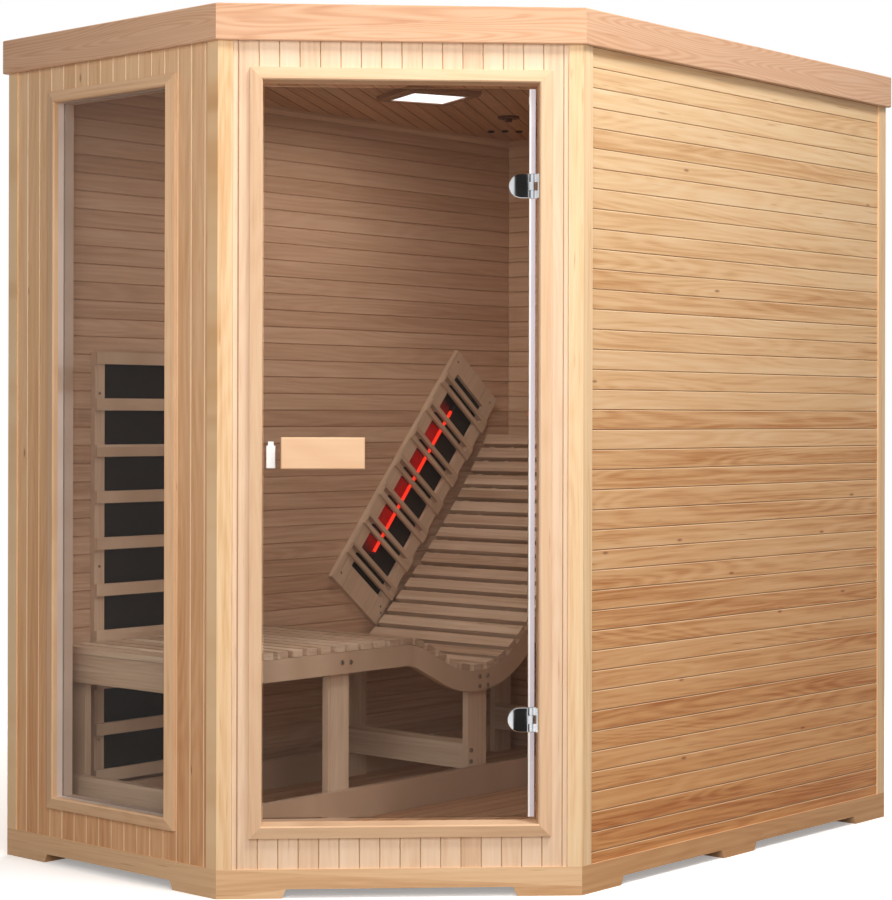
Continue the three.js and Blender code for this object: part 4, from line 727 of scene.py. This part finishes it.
# The lens of the lamp is lit and ribbed
RIB_WAVES = 900.0
LENS_ROUGHNESS = (0.25, 0.35)
LENS_STRENGTH = 2.2
lens = Shader("lamp_lens")
place = lens.place()
ribs = lens.math("SINE", lens.math("MULTIPLY", lens.dot(place, NORTH), RIB_WAVES))
lens.set(Base_Color=lens.ramp(ribs, [(0.0, linear(236, 240, 246)), (1.0, linear(250, 252, 255))]),
         Emission_Color=lens.ramp(ribs, [(0.0, linear(226, 236, 250)), (1.0, linear(255, 255, 255))]),
         Roughness=lens.spread(ribs, *WAVE_RANGE, *LENS_ROUGHNESS))
lens.surface.inputs["Emission Strength"].default_value = LENS_STRENGTH
dress(lens.material, "lamp_lens")

# Soft edges
SOFT_FRAME = 0.0012
SOFT_SLAT = 0.002
SOFT_TRIM = 0.0006
SOFT_BOARD = 0.0005
soften(SOFT_FRAME, "roof_fascia", "base_frame", *strips, *feet)
soften(SOFT_SLAT, "lounger_leg_slats", "lounger_seat_slats", "lounger_back_slats", "lounger_rail_near",
       "lounger_rail_far", "lounger_floor_rail_near", "lounger_floor_rail_far", "lounger_apron",
       "lounger_trestle_leg", "lounger_trestle_seat", "lounger_trestle_back", "lounger_trestle_front")
soften(SOFT_FRAME, "wall_heater_guard", "slant_heater_guard", "door_pull_outer", "door_pull_inner")
soften(SOFT_TRIM, "window_moulding", "door_moulding", "door_catch", "hinge_leaf_lower", "hinge_leaf_upper",
       "lamp_housing", "power_supply_box", "control_panel")
soften(SOFT_BOARD, "window_wall", "door_wall", "right_wall", "back_wall", "left_wall")

# Bolts, screws and rims of air holes
ROUND_SIDES = 20
CROWN_INSET = 0.35
ROUND_EDGE = 0.0004


def turned(name, profile, centre, direction, recess=0.0, ring=False):
    """A round piece from a profile of (radius, height): a head with a sunk crown, or a ring."""
    mesh = bmesh.new()
    loops = []
    for radius, height in profile:
        loop = []
        for index in range(ROUND_SIDES):
            angle = 2 * math.pi * index / ROUND_SIDES
            loop.append(mesh.verts.new((radius * math.cos(angle), radius * math.sin(angle), height)))
        loops.append(loop)
    following_loops = loops[1:] + loops[:1] if ring else loops[1:]
    for lower, upper in zip(loops, following_loops):
        for index in range(ROUND_SIDES):
            following = (index + 1) % ROUND_SIDES
            mesh.faces.new((lower[index], lower[following], upper[following], upper[index]))
    if not ring:
        mesh.faces.new(list(reversed(loops[0])))
        crown = mesh.faces.new(loops[-1])
        bmesh.ops.inset_region(mesh, faces=[crown], thickness=profile[-1][0] * CROWN_INSET, depth=0.0)
        bmesh.ops.translate(mesh, verts=crown.verts, vec=(0.0, 0.0, -recess))
    bmesh.ops.recalc_face_normals(mesh, faces=mesh.faces)
    data = bpy.data.meshes.new(name)
    mesh.to_mesh(data)
    mesh.free()
    for polygon in data.polygons:
        polygon.use_smooth = True
    made = bpy.data.objects.new(name, data)
    bpy.context.scene.collection.objects.link(made)
    made.matrix_world = Matrix.Translation(centre) @ direction.to_track_quat("Z", "Y").to_matrix().to_4x4()
    edges = made.modifiers.new("soft_edges", "BEVEL")
    edges.width = ROUND_EDGE
    edges.segments = BEVEL_SEGMENTS
    edges.limit_method = "ANGLE"
    # Rings take dark plastic, as painted shade in the air holes
    data.materials.append(dark_plastic if ring else chrome.material)
    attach(made, "cabin")


# Profiles as (radius, height), and places on the lounger's near rail as (y, z)
BOLT = [(0.0062, 0.0), (0.0062, 0.0012), (0.0055, 0.0028), (0.004, 0.0036)]
BOLT_RECESS = 0.0015
SCREW = [(0.0034, 0.0), (0.0034, 0.0006), (0.0026, 0.0013)]
SCREW_RECESS = 0.0006
bolt_places = [
    (-0.369, 0.447), (-0.340, 0.446), (0.126, 0.372), (0.156, 0.372), (0.126, 0.348), (0.156, 0.348),
    (0.75, 0.91), (0.73, 0.882),
]
for index, (y, z) in enumerate(bolt_places):
    turned("lounger_bolt_%d" % index, BOLT, Vector((LOUNGER_SIDE, y, z)), EAST, recess=BOLT_RECESS)
STRETCHER_END = (-0.0883, 0.117)
STRETCHER_LEVELS = (0.185, 0.157)
for index, z in enumerate(STRETCHER_LEVELS):
    turned("stretcher_bolt_%d" % index, BOLT, Vector((*STRETCHER_END, z)), EAST, recess=BOLT_RECESS)

# Screws of the wall heater, and of the slanted heater by place along and across it
WALL_GUARD_STILES = (-0.6835, -0.3135)
WALL_GUARD_LEVELS = (0.249, 0.665, 1.079)
SLANT_SCREWS = ((-0.35, -0.092), (-0.362, -0.104), (-0.37, 0.09), (0.372, 0.09), (0.372, -0.09))
screws = []
for y in WALL_GUARD_STILES:
    for z in WALL_GUARD_LEVELS:
        screws.append(Vector((HEATER_FRAME_FACE, y, z)))
for reach, side in SLANT_SCREWS:
    spot = SLANT_CENTRE + SLANT_ALONG * reach + SLANT_ACROSS * side
    screws.append(Vector((HEATER_FRAME_FACE, spot.y, spot.z)))
for index, centre in enumerate(screws):
    turned("guard_screw_%d" % index, SCREW, centre, EAST, recess=SCREW_RECESS)

# Rims of the air holes in the ceiling, in dark plastic that stands as painted shade for the dark holes
AIR_RIM = [
    (0.0068, -0.008), (0.0068, -0.0002), (0.0092, -0.0002),
    (0.0092, 0.0045), (0.006, 0.0045), (0.006, -0.008),
]
AIR_HOLES = ((-0.457, 0.624), (-0.422, 0.643), (-0.398, 0.675))
for index, (x, y) in enumerate(AIR_HOLES):
    turned("air_rim_%d" % index, AIR_RIM, Vector((x, y, CEILING_LEVEL)), -UP, ring=True)


# Stage: pale floor that fades out, soft light
def seen_directly(tree):
    """1 for what the camera sees, straight or in glass and metal."""
    path = tree.nodes.new("ShaderNodeLightPath")
    total = path.outputs["Is Camera Ray"]
    for kind in ("Is Glossy Ray", "Is Transmission Ray"):
        larger = tree.nodes.new("ShaderNodeMath")
        larger.operation = "MAXIMUM"
        tree.links.new(total, larger.inputs[0])
        tree.links.new(path.outputs[kind], larger.inputs[1])
        total = larger.outputs[0]
    return total


FLOOR_HALF = 6.0
FLOOR_SOLID = 1.9
FLOOR_REACH = 3.6
FLOOR_BOUNCE = (0.3, 0.25, 0.2, 1.0)
FLOOR_SEEN = (0.97, 0.97, 0.97, 1.0)
FLOOR_LIFT = 0.3
FLOOR_ROUGHNESS = 0.9
WHITE = (1.0, 1.0, 1.0, 1.0)
floor_mesh = bpy.data.meshes.new("floor")
floor_corners = [
    (-FLOOR_HALF, -FLOOR_HALF, 0.0), (FLOOR_HALF, -FLOOR_HALF, 0.0),
    (FLOOR_HALF, FLOOR_HALF, 0.0), (-FLOOR_HALF, FLOOR_HALF, 0.0),
]
floor_mesh.from_pydata(floor_corners, [], [(0, 1, 2, 3)])
floor = bpy.data.objects.new("floor", floor_mesh)
bpy.context.scene.collection.objects.link(floor)
floor_look = Shader("floor_paint")
span = floor_look.node("VectorMath", operation="LENGTH")
floor_look.put(span.inputs[0], floor_look.place())
floor_look.set(
    Base_Color=floor_look.tint(seen_directly(floor_look.tree), FLOOR_BOUNCE, FLOOR_SEEN),
    Emission_Strength=floor_look.spread(seen_directly(floor_look.tree), 0.0, 1.0, 0.0, FLOOR_LIFT),
    Alpha=floor_look.spread(span.outputs["Value"], FLOOR_SOLID, FLOOR_REACH, 1.0, 0.0))
floor_look.surface.inputs["Emission Color"].default_value = WHITE
floor_look.surface.inputs["Roughness"].default_value = FLOOR_ROUGHNESS
floor_look.surface.inputs["Specular IOR Level"].default_value = 0.0
floor_mesh.materials.append(floor_look.material)

# The surroundings light warmly and look white
SKY_FILL = (1.0, 0.88, 0.77, 1.0)
SKY_STRENGTH = 0.13
scene = bpy.context.scene
scene.view_settings.view_transform = "Standard"
world = bpy.data.worlds.new("studio")
scene.world = world
world.use_nodes = True
sky = world.node_tree
for old in list(sky.nodes):
    sky.nodes.remove(old)
lit = sky.nodes.new("ShaderNodeBackground")
lit.inputs["Color"].default_value = SKY_FILL
lit.inputs["Strength"].default_value = SKY_STRENGTH
shown = sky.nodes.new("ShaderNodeBackground")
shown.inputs["Color"].default_value = WHITE
shown.inputs["Strength"].default_value = 1.0
mixed = sky.nodes.new("ShaderNodeMixShader")
sky.links.new(seen_directly(sky), mixed.inputs[0])
sky.links.new(lit.outputs[0], mixed.inputs[1])
sky.links.new(shown.outputs[0], mixed.inputs[2])
output = sky.nodes.new("ShaderNodeOutputWorld")
sky.links.new(mixed.outputs[0], output.inputs["Surface"])


def area_light(name, place, target, size, power, colour):
    """A soft lamp that lights the object, but is neither seen nor mirrored."""
    data = bpy.data.lights.new(name, "AREA")
    data.size = size
    data.energy = power
    data.color = colour
    lamp = bpy.data.objects.new(name, data)
    scene.collection.objects.link(lamp)
    lamp.location = place
    lamp.visible_camera = False
    lamp.visible_glossy = False
    lamp.visible_transmission = False
    lamp.rotation_euler = (Vector(target) - Vector(place)).to_track_quat("-Z", "Y").to_euler()


STUDIO_COLOUR = (1.0, 0.98, 0.95)
LAMP_COLOUR = (1.0, 0.93, 0.86)
LAMP_DROP = 0.012
under_lamp = (LAMP_PLACE.x, LAMP_PLACE.y, LAMP_PLACE.z - LAMP_DROP)
area_light("key", place=(2.15, -2.85, 1.8), target=(0.25, -0.65, 0.95), size=2.4, power=77.0,
           colour=STUDIO_COLOUR)
area_light("above", place=(2.2, -0.7, 4.4), target=(0.65, 0.0, 1.1), size=1.0, power=136.0,
           colour=STUDIO_COLOUR)
area_light("behind", place=(-3.3, 3.4, 2.3), target=(-0.3, 0.5, 0.9), size=2.4, power=240.0,
           colour=STUDIO_COLOUR)
area_light("inside", place=under_lamp, target=(LAMP_PLACE.x, LAMP_PLACE.y, 0.0), size=0.14, power=4.3,
           colour=LAMP_COLOUR)

# A dark stand in the studio, which only the metal mirrors
STAND_LEFT = (2.29, -1.9215)
STAND_RIGHT = (2.321, -1.8885)
STAND_LEVELS = (0.01, 2.6)
stand_mesh = bpy.data.meshes.new("stand")
stand_corners = [
    (*STAND_LEFT, STAND_LEVELS[0]), (*STAND_RIGHT, STAND_LEVELS[0]),
    (*STAND_RIGHT, STAND_LEVELS[1]), (*STAND_LEFT, STAND_LEVELS[1]),
]
stand_mesh.from_pydata(stand_corners, [], [(0, 1, 2, 3)])
stand = bpy.data.objects.new("stand", stand_mesh)
scene.collection.objects.link(stand)
stand_mesh.materials.append(plastic("stand_paint", linear(16, 15, 15), linear(28, 27, 26), rough=0.8))
stand.visible_camera = False
stand.visible_diffuse = False
stand.visible_transmission = False
stand.visible_shadow = False

# Camera, with the focal length and the optical centre in pixels of the photo's frame
FRAME_CENTRE = (446.0, 450.0)
FRAME_LONG_SIDE = 900.0
FOCAL_LENGTH = 2200.25
OPTICAL_CENTRE = (448.33, 417.15)
SENSOR_WIDTH = 36.0
CAMERA_CLIP = 200.0
CAMERA_PLACE = (3.54025, -4.07451, 1.0238)
CAMERA_YAW = 0.72408
CAMERA_ROLL = 0.00236
camera_data = bpy.data.cameras.new("camera")
camera_data.sensor_width = SENSOR_WIDTH
camera_data.lens = FOCAL_LENGTH * SENSOR_WIDTH / FRAME_LONG_SIDE
camera_data.shift_x = (FRAME_CENTRE[0] - OPTICAL_CENTRE[0]) / FRAME_LONG_SIDE
camera_data.shift_y = (OPTICAL_CENTRE[1] - FRAME_CENTRE[1]) / FRAME_LONG_SIDE
camera_data.clip_end = CAMERA_CLIP
camera = bpy.data.objects.new("camera", camera_data)
scene.collection.objects.link(camera)
level_turn = Matrix.Rotation(CAMERA_YAW, 4, "Z") @ Matrix.Rotation(math.pi / 2, 4, "X")
turn = level_turn @ Matrix.Rotation(CAMERA_ROLL, 4, "Z")
camera.matrix_world = Matrix.Translation(CAMERA_PLACE) @ turn
scene.camera = camera
